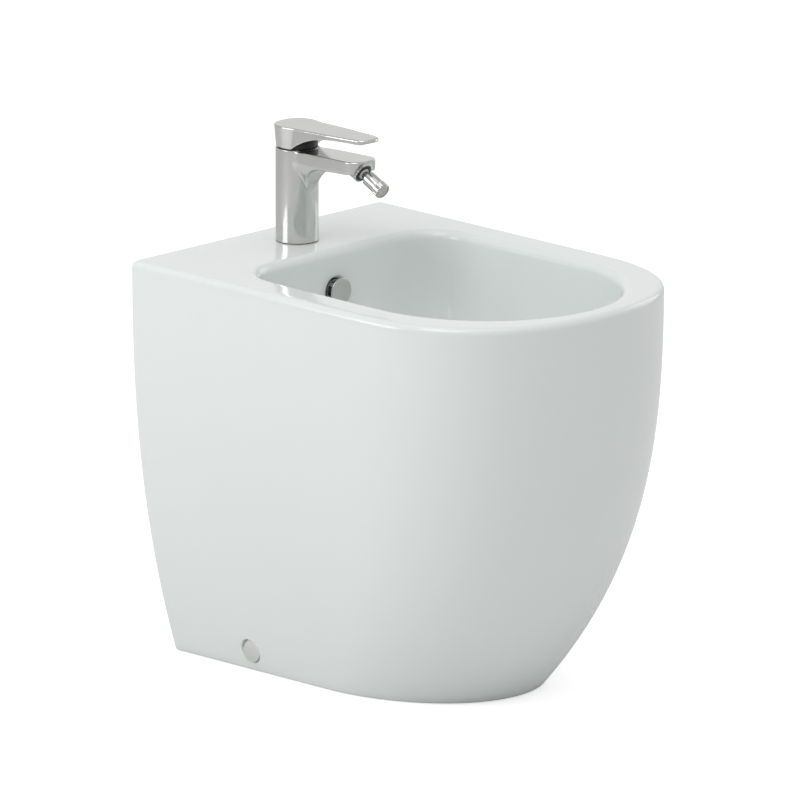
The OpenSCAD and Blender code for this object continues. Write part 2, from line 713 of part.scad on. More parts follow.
// The spout seen from the front: the sweep narrows towards the column
module spout_front() {
    wide = spout_w / 2 + 1;
    polygon([[-wide, column_h + 9], [wide, column_h + 9], [wide, spout_low], [wide - 3, spout_low - 4],
             [7, spout_low - sweep_r], [-7, spout_low - sweep_r], [3 - wide, spout_low - 4],
             [-wide, spout_low]]);
}

module spout_plan() {
    end_r = spout_w / 2;
    union() {
        translate([-end_r, end_r - spout_reach]) square([spout_w, spout_reach - end_r]);
        translate([0, end_r - spout_reach]) circle(r = end_r);
    }
}

module tap_body() color(chrome) difference() {
    union() {
        at_tap() rotate_extrude() polygon([
            [0, base_t], [tap_r - 0.4, base_t], [tap_r, base_t + 0.4], [tap_r, column_h - 1],
            [tap_r - 1, column_h], [0, column_h]]);
        at_tap() intersection() {
            across(spout_w + 2) spout_side();
            across_y(3 * spout_reach) spout_front();
            translate([0, 0, spout_low - sweep_r - 1]) linear_extrude(sweep_r + spout_t + 9) spout_plan();
        }
        at_ball() translate([0, 0, -10]) cylinder(r = boss_out, h = 10 + mouth);
    }
    at_tap(base_z - 1.4) cylinder(r = well_r, h = column_h);
    at_tap(shoulder_z) cylinder(r = nut_well_r, h = column_h);
    at_tap(disc_z + 2) cylinder(r = chamber_r, h = shoulder_z - disc_z - 8);
    for (s = [-1, 1]) at_tap(-1) translate([s * port_x, port_y, 0]) {
        cylinder(r = port_r, h = port_l + 1 + base_t);
        cylinder(r = valve_r, h = base_z + 1);
    }
    at_tap(-1) translate([0, stud_y, 0]) cylinder(r = stud_r + run, h = 18);
    outlet_way();
    at_ball() rotate_extrude() polygon([
        [0, -ball_r - slip], [4, -ball_r - slip], [4, -7.6], [seat_in, -7.6], [socket_r, -2.6],
        [socket_r, 30], [0, 30]]);
}

// Mixed water: out of the cartridge's foot, up the back of the well, round it and along the spout
module outlet_way() {
    low = base_z - 8;
    bend = [-tap_r - 8, column_h - 8.4];
    start = [-cart_r - 0.5, pivot_z - 5];
    run_l = norm(bend - start);
    at_tap(low) translate([0, outlet_y, 0]) cylinder(r = 3.2, h = 10);
    at_tap(low + 3) translate([0, outlet_y, 0]) rotate([-90, 0, 0])
        cylinder(r = 2.4, h = cart_r + 0.4 - outlet_y);
    at_tap(low) translate([-3, cart_r - 2, 0]) cube([6, 4.2, disc_z + 4 - low]);
    at_tap() translate([0, bend.x, bend.y]) rotate([90, 0, 0]) cylinder(r = 3, h = ball_back + bend.x - 5);
    at_tap() translate([0, start.x, start.y])
        rotate([90 - atan2(bend.y - start.y, start.x - bend.x), 0, 0]) {
            cylinder(r = 3, h = run_l);
            translate([0, 0, run_l]) sphere(r = 3.2);
        }
}

module tap_base_gasket() color(rubber) at_tap() tube(tap_r - 0.7, tap_hole_d / 2 + 0.6, base_t);

clamp_gasket_t = 3;
clamp_t = 2.5;
clamp_r = 23;
under_deck = -deck_t;
stud_nut_h = 11;

// A horseshoe round the inlets, with a hole for the stud
module horseshoe(r, t) {
    difference() {
        cylinder(r = r, h = t);
        translate([-14, -r - 1, -1]) cube([28, r + 2.5, t + 2]);
        translate([0, stud_y, -1]) cylinder(r = stud_r + slip, h = t + 2);
    }
}

module clamp_gasket() color(rubber) at_tap(under_deck - clamp_gasket_t) horseshoe(clamp_r - 1, clamp_gasket_t);
module clamp_plate() color(steel) at_tap(under_deck - clamp_gasket_t - clamp_t) horseshoe(clamp_r, clamp_t);
module stud_nut() color(brass) at_tap(under_deck - clamp_gasket_t - clamp_t - stud_nut_h)
    translate([0, stud_y, 0]) difference() {
        cylinder(r = 7.2, h = stud_nut_h, $fn = 6);
        translate([0, 0, -1]) cylinder(r = stud_r + run, h = stud_nut_h + 2);
    }
module tap_stud() color(steel) at_tap(under_deck - clamp_gasket_t - clamp_t - stud_nut_h - 8)
    translate([0, stud_y, 0]) cylinder(r = stud_r, h = 16 + 8 + stud_nut_h + clamp_t + clamp_gasket_t + deck_t);

// Mixing cartridge, from the bottom up
cart_in = cart_r - 2.5;
disc_r = cart_in - 3;
disc_shift = 2.2;
disc_t = 4;
rotor_lo = disc_z + 2 * disc_t + 5.35;
rotor_step = rotor_lo + 8;
rotor_top = pivot_z + 10;
neck_in = cart_in - 2;
stem_arm = 13.5;
stem_w = 7;

// Ports through base and fixed disc: two inlets and one outlet
module cartridge_ports(h) {
    for (s = [-1, 1]) translate([s * port_x, port_y, -1]) cylinder(r = valve_r, h = h + 2);
    translate([0, outlet_y, -1]) cylinder(r = 3.2, h = h + 2);
}

module cartridge_base() color(nylon) at_tap(base_z) difference() {
    cylinder(r = cart_r, h = disc_z - base_z);
    cartridge_ports(disc_z - base_z);
}

module cartridge_seals() color(rubber) at_tap(base_z - 1.4) {
    for (s = [-1, 1]) translate([s * port_x, port_y, 0]) tube(valve_r + 1.6, valve_r + 0.1, 1.4);
    translate([0, outlet_y, 0]) tube(4.8, 3.3, 1.4);
}

module cartridge_housing() color(nylon) at_tap() difference() {
    rotate_extrude() polygon([
        [cart_in, disc_z], [cart_r, disc_z], [cart_r, shoulder_z], [neck_in + 0.1, shoulder_z],
        [neck_in + 0.1, rotor_step + 0.1], [cart_in, rotor_step + 0.1]]);
    for (a = [0, 180]) rotate(a) translate([cart_in - 1, -3, disc_z + 9]) cube([5, 6, 4]);
}

module fixed_disc() color(disc_white) at_tap(disc_z) difference() {
    cylinder(r = cart_in - 0.1, h = disc_t);
    cartridge_ports(disc_t);
}

module moving_disc() color(disc_white) at_tap(disc_z + disc_t + run)
    translate([0, disc_shift, 0]) difference() {
        cylinder(r = disc_r, h = disc_t - run);
        translate([-8, -1.5, -1]) cube([16, 8, 3]);
    }

module disc_carrier() color(nylon) at_tap(disc_z + 2 * disc_t) difference() {
    translate([0, disc_shift, 0]) cylinder(r = disc_r, h = 5);
    translate([0, 0, 0.4]) cylinder(r = 3.1, h = 6);
}

pin_r = 1.5;
module cartridge_rotor() color(nylon) at_tap() difference() {
    rotate_extrude() polygon([
        [0, rotor_lo], [cart_in - run, rotor_lo], [cart_in - run, rotor_step],
        [neck_in + 0.1 - run, rotor_step], [neck_in + 0.1 - run, rotor_top], [0, rotor_top]]);
    translate([-stem_w / 2 - slip, -9.2, rotor_lo - 1]) cube([stem_w + 2 * slip, 18.4, 40]);
    translate([-cart_in, 0, pivot_z]) rotate([0, 90, 0]) cylinder(r = pin_r + 0.02, h = 2 * cart_in);
}

module pivot_pin() color(steel) at_tap(pivot_z) translate([-neck_in + 0.8, 0, 0]) rotate([0, 90, 0])
    cylinder(r = pin_r, h = 2 * neck_in - 1.6);

stem_top = pivot_z + 32;
module lever_stem() color(steel) at_tap() difference() {
    union() {
        translate([-stem_w / 2, -stem_w / 2, pivot_z - 8]) cube([stem_w, stem_w, stem_top - pivot_z + 8]);
        translate([0, 0, pivot_z - stem_arm]) cylinder(r = 2.1, h = stem_arm - 8 + bond);
        translate([0, 0, pivot_z - stem_arm]) sphere(r = 2.75);
    }
    translate([-stem_w, 0, pivot_z]) rotate([0, 90, 0]) cylinder(r = pin_r + run, h = 2 * stem_w);
}

module cartridge_nut() color(brass) at_tap(shoulder_z) difference() {
    cylinder(r = nut_well_r - run, h = column_h - shoulder_z);
    translate([0, 0, -1]) cylinder(r = cart_in - 0.6, h = 30);
    for (a = [0:60:300]) rotate(a) translate([cart_in - 2, -1.6, column_h - shoulder_z - 4])
        cube([3.2, 3.2, 5]);
}

// Trim ring under the lever: a collar and a low dome about the pivot
shroud_h = 2.4;
dome_r = 26;
shroud_in = 14;
function dome_at(z) = sqrt(max(0, dome_r * dome_r - (z - pivot_z) * (z - pivot_z)));
module tap_shroud() color(black_plastic) at_tap() rotate_extrude() polygon(concat(
    [[shroud_in, column_h], [nut_well_r - 0.1, column_h], [nut_well_r - 0.1, column_h + shroud_h - 0.4],
     [nut_well_r - 0.5, column_h + shroud_h]],
    [for (z = [column_h + shroud_h:0.5:column_h + shroud_h + 2.5]) [dome_at(z), z]],
    [[shroud_in, column_h + shroud_h + 2.9]]));

// ---------------------------------------------------------------- lever

hub_low = column_h + 1.6;
lever_top = hub_low + lever_h;
lever_low = lever_top - 9.5;
hub_r_low = tap_r - 0.5;
hub_r_top = tap_r + 1.4;
lever_in = hub_r_low - 1.9;
lever_end_r = 14.5;
lever_rise = 1.2;
grub_r = 2.5;
grub_z = hub_low + 10.6;

// Underside of the lever seen from the side: it sweeps up from the hub to the thin tip
function sweep(part) = [for (t = part) [lerp(-lever_reach + 8, -11, t),
    lerp(lever_top - 3.8, hub_low, pow(t, 3.6))]];

// Lever seen from the side: flat top, thin tip, the hub open at its front
module lever_side() {
    polygon(concat(
        [[hub_r_top + 1, hub_low], [hub_r_top + 1, lever_top - 0.9], [hub_r_top - 3, lever_top - 0.25],
         [hub_r_top - 10, lever_top], [-10, lever_top], [-lever_reach + 5, lever_top + lever_rise],
         [-lever_reach + 1.5, lever_top + lever_rise - 0.6], [-lever_reach, lever_top + lever_rise - 1.8],
         [-lever_reach + 1, lever_top + lever_rise - 3.2]],
        sweep([0:0.1:1])));
}

// Lever seen from above: straight flanks that close in to a round tip
module lever_plan() {
    tip_y = lever_end_r - lever_reach;
    polygon(concat(
        [[tap_r - 1.2, 0], [tap_r - 2, -30], [tap_r - 3.6, -60]],
        [for (a = [10:10:170]) [lever_end_r * cos(a), tip_y - lever_end_r * sin(a)]],
        [[3.6 - tap_r, -60], [2 - tap_r, -30], [1.2 - tap_r, 0]]));
}

module lever() color(chrome) at_tap() difference() {
    union() {
        intersection() {
            translate([0, 0, hub_low]) cylinder(r1 = hub_r_low, r2 = hub_r_top, h = lever_top - hub_low);
            across(3 * tap_d) polygon(concat([
                [2 * tap_r, hub_low - 1], [2 * tap_r, lever_top - 2],
                [hub_r_top + 1, lever_top - 0.9], [hub_r_top - 3, lever_top - 0.25],
                [hub_r_top - 10, lever_top], [-2 * tap_r, lever_top]],
                sweep([0.6:0.1:1]), [[-11, hub_low - 1]]));
        }
        intersection() {
            translate([0, 0, hub_low - 1]) linear_extrude(lever_top - hub_low + 4) lever_plan();
            across(3 * tap_d) lever_side();
        }
    }
    difference() {
        rotate_extrude() polygon([[0, hub_low - 1], [hub_r_low - 0.7, hub_low - 1],
            [hub_r_low - 0.7, hub_low], [lever_in, hub_low + 2.5], [lever_in, lever_low], [0, lever_low]]);
        translate([-stem_w / 2 - 2.6, -stem_w / 2 - 2.6, pivot_z + dome_r + 0.3])
            cube([stem_w + 5.2, stem_w + 5.2, 20]);
    }
    translate([-stem_w / 2 - run, -stem_w / 2 - run, hub_low - 1])
        cube([stem_w + 2 * run, stem_w + 2 * run, stem_top - hub_low + 1.3]);
    translate([0, 0, grub_z]) rotate([-90, 0, 0]) cylinder(r = grub_r + run, h = tap_d);
    translate([0, hub_back - 2.2, grub_z]) rotate([-90, 0, 0]) cylinder(r = 3.5, h = 8);
}

// Dark insert that closes the open front of the hub, flush with its wall
liner_low = hub_low + 0.2;
module lever_liner() color(black_plastic) at_tap() intersection() {
    difference() {
        translate([0, 0, liner_low]) cylinder(r1 = hub_r_low - 0.13, r2 = hub_r_top - 0.15, h = lever_h - 0.2);
        translate([0, 0, hub_low - 1]) cylinder(r = lever_in + run, h = lever_h);
    }
    across(3 * tap_d) polygon(concat([[-2 * tap_r, liner_low], [-11.6, liner_low]],
        [for (p = sweep([0.9:-0.1:0.6])) p - [0, run]], [[-2 * tap_r, hub_low + 8]]));
}

hub_back = lerp(hub_r_low, hub_r_top, (grub_z - hub_low) / (lever_top - hub_low));
module lever_grub_screw() color(steel) at_tap(grub_z) translate([0, stem_w / 2 + 0.05, 0])
    rotate([-90, 0, 0]) difference() {
        cylinder(r = grub_r, h = 8);
        translate([0, 0, 5]) cylinder(r = 1.4, h = 4, $fn = 6);
    }

module lever_plug() color(steel) at_tap(grub_z) translate([0, hub_back - 2.1, 0]) rotate([-90, 0, 0])
    rotate_extrude() polygon([[0, 0], [3.4, 0], [3.4, 1.4], [2.8, 1.9], [0, 2.1]]);

// ---------------------------------------------------------------- nozzle

module nozzle_seat() color(nylon) at_ball() difference() {
    rotate_extrude() polygon([[0, -7.6 + run], [seat_in - run, -7.6 + run],
        [socket_r - run, -2.6], [socket_r - run, -1.8], [0, -1.8]]);
    sphere(r = ball_r + run, $fn = 96);
    translate([0, 0, -9]) cylinder(r = 4.2, h = 9);
}

module nozzle_nut() color(black_plastic) at_ball() difference() {
    union() {
        translate([0, 0, -1.7]) cylinder(r = socket_r - run, h = 1.7 + mouth);
        translate([0, 0, mouth - 0.4]) cylinder(r1 = socket_r - run, r2 = socket_r - 1, h = 1);
    }
    sphere(r = ball_r + run, $fn = 96);
}

barrel_r = barrel_d / 2;
neck_r_out = ball_r * 0.56;
barrel_z = 12;
thread_z = nozzle_l - 8.5;
module nozzle_ball() color(chrome) at_ball() difference() {
    union() {
        sphere(r = ball_r, $fn = 96);
        rotate_extrude() polygon([
            [0, 0], [neck_r_out, 5], [neck_r_out, 9], [barrel_r - 1.2, barrel_z - 1.2],
            [barrel_r, barrel_z], [barrel_r, thread_z], [barrel_r - 0.9, thread_z],
            [barrel_r - 0.9, thread_z + 4.5], [0, thread_z + 4.5]]);
    }
    translate([0, 0, -ball_r - 1]) cylinder(r = 3, h = ball_r + 16);
    translate([0, 0, barrel_z + 2]) cylinder(r = barrel_r - 2.6, h = nozzle_l);
}

module aerator_housing() color(chrome) at_ball() difference() {
    rotate_extrude() polygon([
        [barrel_r - 0.85, thread_z + 0.05], [barrel_r + 0.4, thread_z + 0.05],
        [barrel_r + 0.7, thread_z + 0.5], [barrel_r + 0.7, nozzle_l - 1.2], [barrel_r - 0.1, nozzle_l],
        [barrel_r - 1.6, nozzle_l], [barrel_r - 1.6, nozzle_l - 2.2], [barrel_r - 0.85, nozzle_l - 2.2]]);
    for (a = [0:20:340]) rotate(a) translate([barrel_r + 0.7, 0, thread_z + 1.2])
        cylinder(r = 0.5, h = nozzle_l - thread_z - 3.4);
}

module aerator_seal() color(rubber) at_ball() translate([0, 0, thread_z + 4.5])
    tube(barrel_r - 0.95, barrel_r - 2.8, 1);

module aerator_insert() color(nylon) at_ball() translate([0, 0, thread_z + 5.5]) difference() {
    cylinder(r = barrel_r - 1.75, h = nozzle_l - thread_z - 6.3);
    for (x = [-4.5:1.5:4.5]) for (y = [-4.5:1.5:4.5])
        if (norm([x, y]) < barrel_r - 3) translate([x - 0.45, y - 0.45, -1]) cube([0.9, 0.9, 8]);
}

ceramic_body();
overflow_cover();
overflow_grip_ring();
floor_brackets();
fixing_bushes();
fixing_screws();
fixing_caps();
waste_body();
waste_flange_gasket();
waste_under_gasket();
waste_washer();
waste_nut();
tailpiece();
tailpiece_seal();
click_housing();
click_spring();
plug_stem();
plug_cap();
plug_seal();
trap_inlet_nut();
trap_inlet_seal();
trap_body();
trap_cup();
trap_cup_seal();
trap_outlet_nut();
trap_outlet_seal();
trap_outlet_pipe();
tap_body();
tap_base_gasket();
tap_stud();
clamp_gasket();
clamp_plate();
stud_nut();
cartridge_housing();
cartridge_base();
cartridge_seals();
fixed_disc();
moving_disc();
disc_carrier();
cartridge_rotor();
pivot_pin();
lever_stem();
cartridge_nut();
tap_shroud();
lever_liner();
lever();
lever_grub_screw();
lever_plug();
nozzle_seat();
nozzle_nut();
nozzle_ball();
aerator_housing();
aerator_insert();
aerator_seal();
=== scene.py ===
"""Floor standing bidet with a single lever tap: the visible pieces, their finishes and the studio."""
import json
import math

import bpy
import bmesh
import numpy as np
from mathutils import Matrix, Vector
from mathutils.bvhtree import BVHTree

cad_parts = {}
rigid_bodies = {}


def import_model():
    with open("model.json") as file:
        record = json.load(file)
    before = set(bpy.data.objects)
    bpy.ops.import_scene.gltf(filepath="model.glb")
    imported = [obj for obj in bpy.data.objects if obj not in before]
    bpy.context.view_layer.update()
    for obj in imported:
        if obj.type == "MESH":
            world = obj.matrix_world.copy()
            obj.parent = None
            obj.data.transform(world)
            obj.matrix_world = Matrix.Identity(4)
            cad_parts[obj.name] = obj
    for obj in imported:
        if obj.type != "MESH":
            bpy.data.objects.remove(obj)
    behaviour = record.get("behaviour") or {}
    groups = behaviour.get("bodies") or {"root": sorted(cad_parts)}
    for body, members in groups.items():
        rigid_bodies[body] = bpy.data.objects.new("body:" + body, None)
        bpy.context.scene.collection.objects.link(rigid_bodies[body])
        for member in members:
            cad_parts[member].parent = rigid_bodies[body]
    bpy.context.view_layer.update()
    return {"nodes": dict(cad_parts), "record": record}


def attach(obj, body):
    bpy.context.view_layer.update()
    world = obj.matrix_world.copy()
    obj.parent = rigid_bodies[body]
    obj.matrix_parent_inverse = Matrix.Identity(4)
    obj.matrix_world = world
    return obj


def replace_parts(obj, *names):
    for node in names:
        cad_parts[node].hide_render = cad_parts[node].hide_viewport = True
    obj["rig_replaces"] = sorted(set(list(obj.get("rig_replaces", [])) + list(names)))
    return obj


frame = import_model()
scene = bpy.context.scene
scene.view_settings.view_transform = "Standard"

# Outlines, places and fields are in mm; meshes, lamps and the camera are in metres
MM = 0.001
FLOAT, WHOLE = "NodeSocketFloat", "NodeSocketInt"


# ---- node trees

def node_maker(tree):
    """Gives the function that adds a node to a tree; an input named _0 is meant by its number."""
    def node(kind, settings=None, **inputs):
        made = tree.nodes.new(kind)
        for key, value in (settings or {}).items():
            setattr(made, key, value)
        for key, value in inputs.items():
            target = made.inputs[int(key[1:])] if key[0] == "_" else made.inputs[key.replace("_", " ")]
            if isinstance(value, bpy.types.NodeSocket):
                tree.links.new(value, target)
            else:
                target.default_value = value
        return made
    return node


def emptied(owner):
    """Clears the tree of a material or a world and gives the function that fills it."""
    owner.use_nodes = True
    owner.node_tree.nodes.clear()
    return node_maker(owner.node_tree)


def maths(node, operation, *values):
    """The output of one Math node."""
    made = node("ShaderNodeMath", {"operation": operation}, **{f"_{k}": v for k, v in enumerate(values)})
    return made.outputs[0]


def sockets(group):
    """The identifiers of a group's inputs, by name."""
    return {s.name: s.identifier for s in group.interface.items_tree if s.in_out == "INPUT"}


# ---- camera and studio

def place_camera():
    """A long lens from the front left, a little above the rim."""
    azimuth, elevation = math.radians(45.09), math.radians(14.49)
    distance, slide, lift = 20.0199, -0.02855, 0.07354
    middle = Vector((0, 0, 0.21))
    back = Vector((-math.sin(azimuth) * math.cos(elevation),
                   -math.cos(azimuth) * math.cos(elevation), math.sin(elevation)))
    right = Vector((math.cos(azimuth), -math.sin(azimuth), 0))
    up = right.cross(-back)
    data = bpy.data.cameras.new("studio_camera")
    data.sensor_width, data.lens = 36.0, 889.28
    data.clip_start, data.clip_end = 1.0, 100.0
    camera = bpy.data.objects.new("studio_camera", data)
    scene.collection.objects.link(camera)
    camera.location = middle + back * distance + right * slide + up * lift
    camera.rotation_mode = "QUATERNION"
    camera.rotation_quaternion = Matrix((right, up, back)).transposed().to_quaternion()
    scene.camera = camera


# Soft lamps: name, heading in degrees from the user's side towards the left, height, distance, size, watts
LAMPS = [
    ("strip_left", 117, 0.85, 1.96, (0.95, 0.9), 7.3),
    ("high_left", 80, 2.5, 1.5, (1.2, 1.2), 12.0),
    ("soft_right", -85, 1.6, 2.8, (1.6, 1.6), 7.4),
    ("soft_top", 90, 3.0, 0.3, (2.2, 2.2), 8.6),
    ("backdrop", 225, 1.15, 3.2, (2.8, 1.3), 2.2),
]
LAMP_AIM = Vector((0, 0, 0.32))
ROOM_LIGHT, ROOM_TINT = 0.66, (0.985, 0.99, 0.98, 1)
WHITE = (1, 1, 1, 1)
FLOOR_HALF, FLOOR_LEVEL, FLOOR_GREY, FLOOR_GLOW = 6.0, -0.0005, 0.8, 0.55


def area_lamp(name, heading, height, away, size, watts):
    """A lamp that stands on its heading round the object and points at the object's middle."""
    data = bpy.data.lights.new(name, "AREA")
    data.shape = "RECTANGLE"
    data.size, data.size_y = size
    data.energy = watts
    lamp = bpy.data.objects.new(name, data)
    scene.collection.objects.link(lamp)
    a = math.radians(heading)
    place = Vector((-away * math.sin(a), -away * math.cos(a), height))
    lamp.location = place
    lamp.rotation_mode = "QUATERNION"
    lamp.rotation_quaternion = (LAMP_AIM - place).to_track_quat("-Z", "Y")


def floor_paint():
    """White to the camera, with only the object's shadow left on it."""
    m = bpy.data.materials.new("floor_paint")
    node = emptied(m)
    matt = node("ShaderNodeBsdfDiffuse", Color=(FLOOR_GREY, FLOOR_GREY, FLOOR_GREY, 1))
    level = maths(node, "MULTIPLY", node("ShaderNodeLightPath").outputs["Is Camera Ray"], FLOOR_GLOW)
    glow = node("ShaderNodeEmission", Color=WHITE, Strength=level)
    both = node("ShaderNodeAddShader", _0=matt.outputs[0], _1=glow.outputs[0])
    node("ShaderNodeOutputMaterial", Surface=both.outputs[0])
    return m


def studio():
    """A white background, a pale room that lights the object, the soft lamps and the floor."""
    scene.world = bpy.data.worlds.new("studio_world")
    node = emptied(scene.world)
    path = node("ShaderNodeLightPath").outputs
    seen = maths(node, "MAXIMUM", path["Is Camera Ray"], path["Is Transmission Ray"])
    room = node("ShaderNodeBackground", Color=ROOM_TINT, Strength=ROOM_LIGHT)
    white = node("ShaderNodeBackground", Color=WHITE)
    mix = node("ShaderNodeMixShader", _0=seen, _1=room.outputs[0], _2=white.outputs[0])
    node("ShaderNodeOutputWorld", Surface=mix.outputs[0])

    for lamp in LAMPS:
        area_lamp(*lamp)

    mesh = bpy.data.meshes.new("studio_floor")
    corners = [(x * FLOOR_HALF, y * FLOOR_HALF, FLOOR_LEVEL) for x, y in ((-1, -1), (1, -1), (1, 1), (-1, 1))]
    mesh.from_pydata(corners, [], [(0, 1, 2, 3)])
    mesh.materials.append(floor_paint())
    floor = bpy.data.objects.new("studio_floor", mesh)
    scene.collection.objects.link(floor)


# ---- finishes

def effect(name, inputs, outputs):
    """A new shader node group with its inputs, their usual values and its outputs."""
    g = bpy.data.node_groups.new(name, "ShaderNodeTree")
    for label, value in inputs.items():
        g.interface.new_socket(name=label, in_out="INPUT", socket_type=FLOAT).default_value = value
    for label in outputs:
        g.interface.new_socket(name=label, in_out="OUTPUT", socket_type=FLOAT)
    node = node_maker(g)
    given, result = node("NodeGroupInput").outputs, node("NodeGroupOutput").inputs

    def close(**found):
        for label, value in found.items():
            g.links.new(value, result[label])
        return g
    return given, node, close


def surface_tooth():
    """Fine and broad noise, as a roughness between two values, a height for the bump and a mottle."""
    given, node, close = effect("surface_tooth", {"Broad Scale": 12.0, "Fine Scale": 400.0,
                                                  "Low Roughness": 0.1, "High Roughness": 0.2},
                                ("Roughness", "Height", "Mottle"))
    fine_share, broad_share = 0.35, 0.65
    place = node("ShaderNodeTexCoord").outputs["Object"]
    broad = node("ShaderNodeTexNoise", Vector=place, Scale=given["Broad Scale"], Detail=3.0).outputs["Fac"]
    fine = node("ShaderNodeTexNoise", Vector=place, Scale=given["Fine Scale"], Detail=5.0).outputs["Fac"]
    both = maths(node, "MULTIPLY_ADD", fine, fine_share, maths(node, "MULTIPLY", broad, broad_share))
    span = node("ShaderNodeMapRange", Value=both, From_Min=0.3, From_Max=0.7, To_Min=given["Low Roughness"],
                To_Max=given["High Roughness"])
    return close(Roughness=span.outputs["Result"], Height=fine, Mottle=broad)


def edge_wear():
    """A mask that is high on worn edges, broken up by noise."""
    given, node, close = effect("edge_wear", {"Scale": 60.0, "Reach": 0.06}, ("Mask",))
    flat = 0.52
    place = node("ShaderNodeTexCoord").outputs["Object"]
    edge = node("ShaderNodeNewGeometry").outputs["Pointiness"]
    noise = node("ShaderNodeTexNoise", Vector=place, Scale=given["Scale"])
    span = node("ShaderNodeMapRange", Value=edge, From_Min=flat,
                From_Max=maths(node, "ADD", flat, given["Reach"]))
    return close(Mask=maths(node, "MULTIPLY", span.outputs["Result"], noise.outputs["Fac"]))


def blended(node, share, a, b):
    """The colour between two colours."""
    return node("ShaderNodeMix", {"data_type": "RGBA"}, Factor=share, A=a, B=b).outputs["Result"]


def finish(name, dark, light, roughness, metallic=0.0, broad=60.0, fine=900.0, bump=0.02, depth=0.00006,
           worn=None, coat=0.0):
    """One material: two close colours, roughness that varies, a fine bump and, where stated, worn edges."""
    m = bpy.data.materials.new(name)
    node = emptied(m)
    tooth = node("ShaderNodeGroup", {"node_tree": TOOTH}, Broad_Scale=broad, Fine_Scale=fine,
                 Low_Roughness=roughness[0], High_Roughness=roughness[1]).outputs
    colour = blended(node, tooth["Mottle"], (*dark, 1), (*light, 1))
    if worn:
        wear = node("ShaderNodeGroup", {"node_tree": WEAR})
        colour = blended(node, wear.outputs["Mask"], colour, (*worn, 1))
    relief = node("ShaderNodeBump", Strength=bump, Distance=depth, Height=tooth["Height"])
    shader = node("ShaderNodeBsdfPrincipled", Base_Color=colour, Metallic=metallic, IOR=1.5, Coat_Weight=coat,
                  Coat_Roughness=0.06, Roughness=tooth["Roughness"], Normal=relief.outputs[0])
    node("ShaderNodeOutputMaterial", Surface=shader.outputs[0])
    return m


TOOTH = surface_tooth()
WEAR = edge_wear()
GLAZE = finish("white_glaze", (0.765, 0.797, 0.787), (0.79, 0.818, 0.809), (0.10, 0.16), broad=5.0,
               fine=42.0, bump=0.05, depth=0.0006, coat=0.35)
BISCUIT = finish("fired_clay", (0.60, 0.585, 0.54), (0.70, 0.685, 0.64), (0.55, 0.8), broad=9.0, bump=0.3,
                 depth=0.0004)
CHROME = finish("soft_chrome", (0.60, 0.60, 0.585), (0.66, 0.66, 0.648), (0.11, 0.19), 1.0, broad=30.0,
                depth=0.00008, worn=(0.74, 0.74, 0.73))
BRIGHT = finish("bright_chrome", (0.50, 0.50, 0.492), (0.58, 0.58, 0.572), (0.05, 0.12), 1.0, broad=40.0,
                worn=(0.8, 0.8, 0.79))
CAP_CHROME = finish("cap_chrome", (0.71, 0.71, 0.70), (0.77, 0.77, 0.76), (0.12, 0.2), 1.0,
                    worn=(0.82, 0.82, 0.81))
STEEL = finish("turned_steel", (0.44, 0.44, 0.45), (0.55, 0.55, 0.56), (0.22, 0.38), 1.0, broad=80.0,
               fine=1500.0, bump=0.12, worn=(0.66, 0.66, 0.66))
BRASS = finish("raw_brass", (0.52, 0.38, 0.15), (0.64, 0.48, 0.22), (0.25, 0.42), 1.0, broad=70.0,
               fine=1300.0, bump=0.12, depth=0.00008, worn=(0.75, 0.6, 0.32))
RUBBER = finish("grey_rubber", (0.10, 0.10, 0.102), (0.14, 0.14, 0.142), (0.55, 0.78), fine=1800.0,
                bump=0.25, depth=0.00012)
NYLON = finish("moulded_nylon", (0.66, 0.66, 0.61), (0.74, 0.74, 0.69), (0.38, 0.55), broad=45.0,
               fine=1500.0, bump=0.12, depth=0.0001)
# Black moulding; on the socket ring round the nozzle's ball it is also painted shade for the gap in the mouth
BLACK_MOULDING_AND_SHADE = finish("black_moulding_and_shade", (0.012, 0.012, 0.013), (0.022, 0.022, 0.023), (0.3, 0.45),
                       broad=45.0, fine=1500.0, bump=0.12, depth=0.0001)
VALVE_CERAMIC = finish("lapped_ceramic", (0.76, 0.75, 0.71), (0.84, 0.83, 0.79), (0.12, 0.2), broad=90.0,
                       fine=2500.0, bump=0.05, depth=0.00004)
SLOT_FINISH = {"ceramic": GLAZE, "chrome": CHROME, "steel": STEEL, "brass": BRASS, "rubber": RUBBER,
               "nylon": NYLON, "black_plastic": BLACK_MOULDING_AND_SHADE, "valve_ceramic": VALVE_CERAMIC}


# ---- making meshes

def piece(name, mesh, body, node, material=None, angle=None):
    """Hangs a finished mesh on its body in place of a CAD node, smooth up to an angle in degrees."""
    made = bpy.data.objects.new(name, mesh)
    scene.collection.objects.link(made)
    if material:
        mesh.materials.clear()
        mesh.materials.append(material)
    if angle is not None:
        smooth(mesh, angle)
    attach(made, body)
    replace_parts(made, node)


def smooth(mesh, angle=None):
    """Shades a mesh smooth, with edges over the angle kept sharp."""
    mesh.polygons.foreach_set("use_smooth", np.ones(len(mesh.polygons), bool))
    if angle is not None:
        mesh.set_sharp_from_angle(angle=math.radians(angle))


def mesh_of(name, points, faces, kinds=None):
    """A mesh of points in mm, with each face's material number."""
    mesh = bpy.data.meshes.new(name)
    mesh.from_pydata((np.asarray(points, float) * MM).tolist(), [], faces)
    if kinds is not None:
        mesh.polygons.foreach_set("material_index", np.asarray(kinds, np.int32))
    mesh.update()
    return mesh


def outward(mesh, merge=1e-6):
    """Merges doubles and turns every face outwards."""
    bm = bmesh.new()
    bm.from_mesh(mesh)
    bmesh.ops.remove_doubles(bm, verts=bm.verts, dist=merge)
    bmesh.ops.recalc_face_normals(bm, faces=bm.faces)
    bm.to_mesh(mesh)
    bm.free()
    mesh.update()
    return mesh


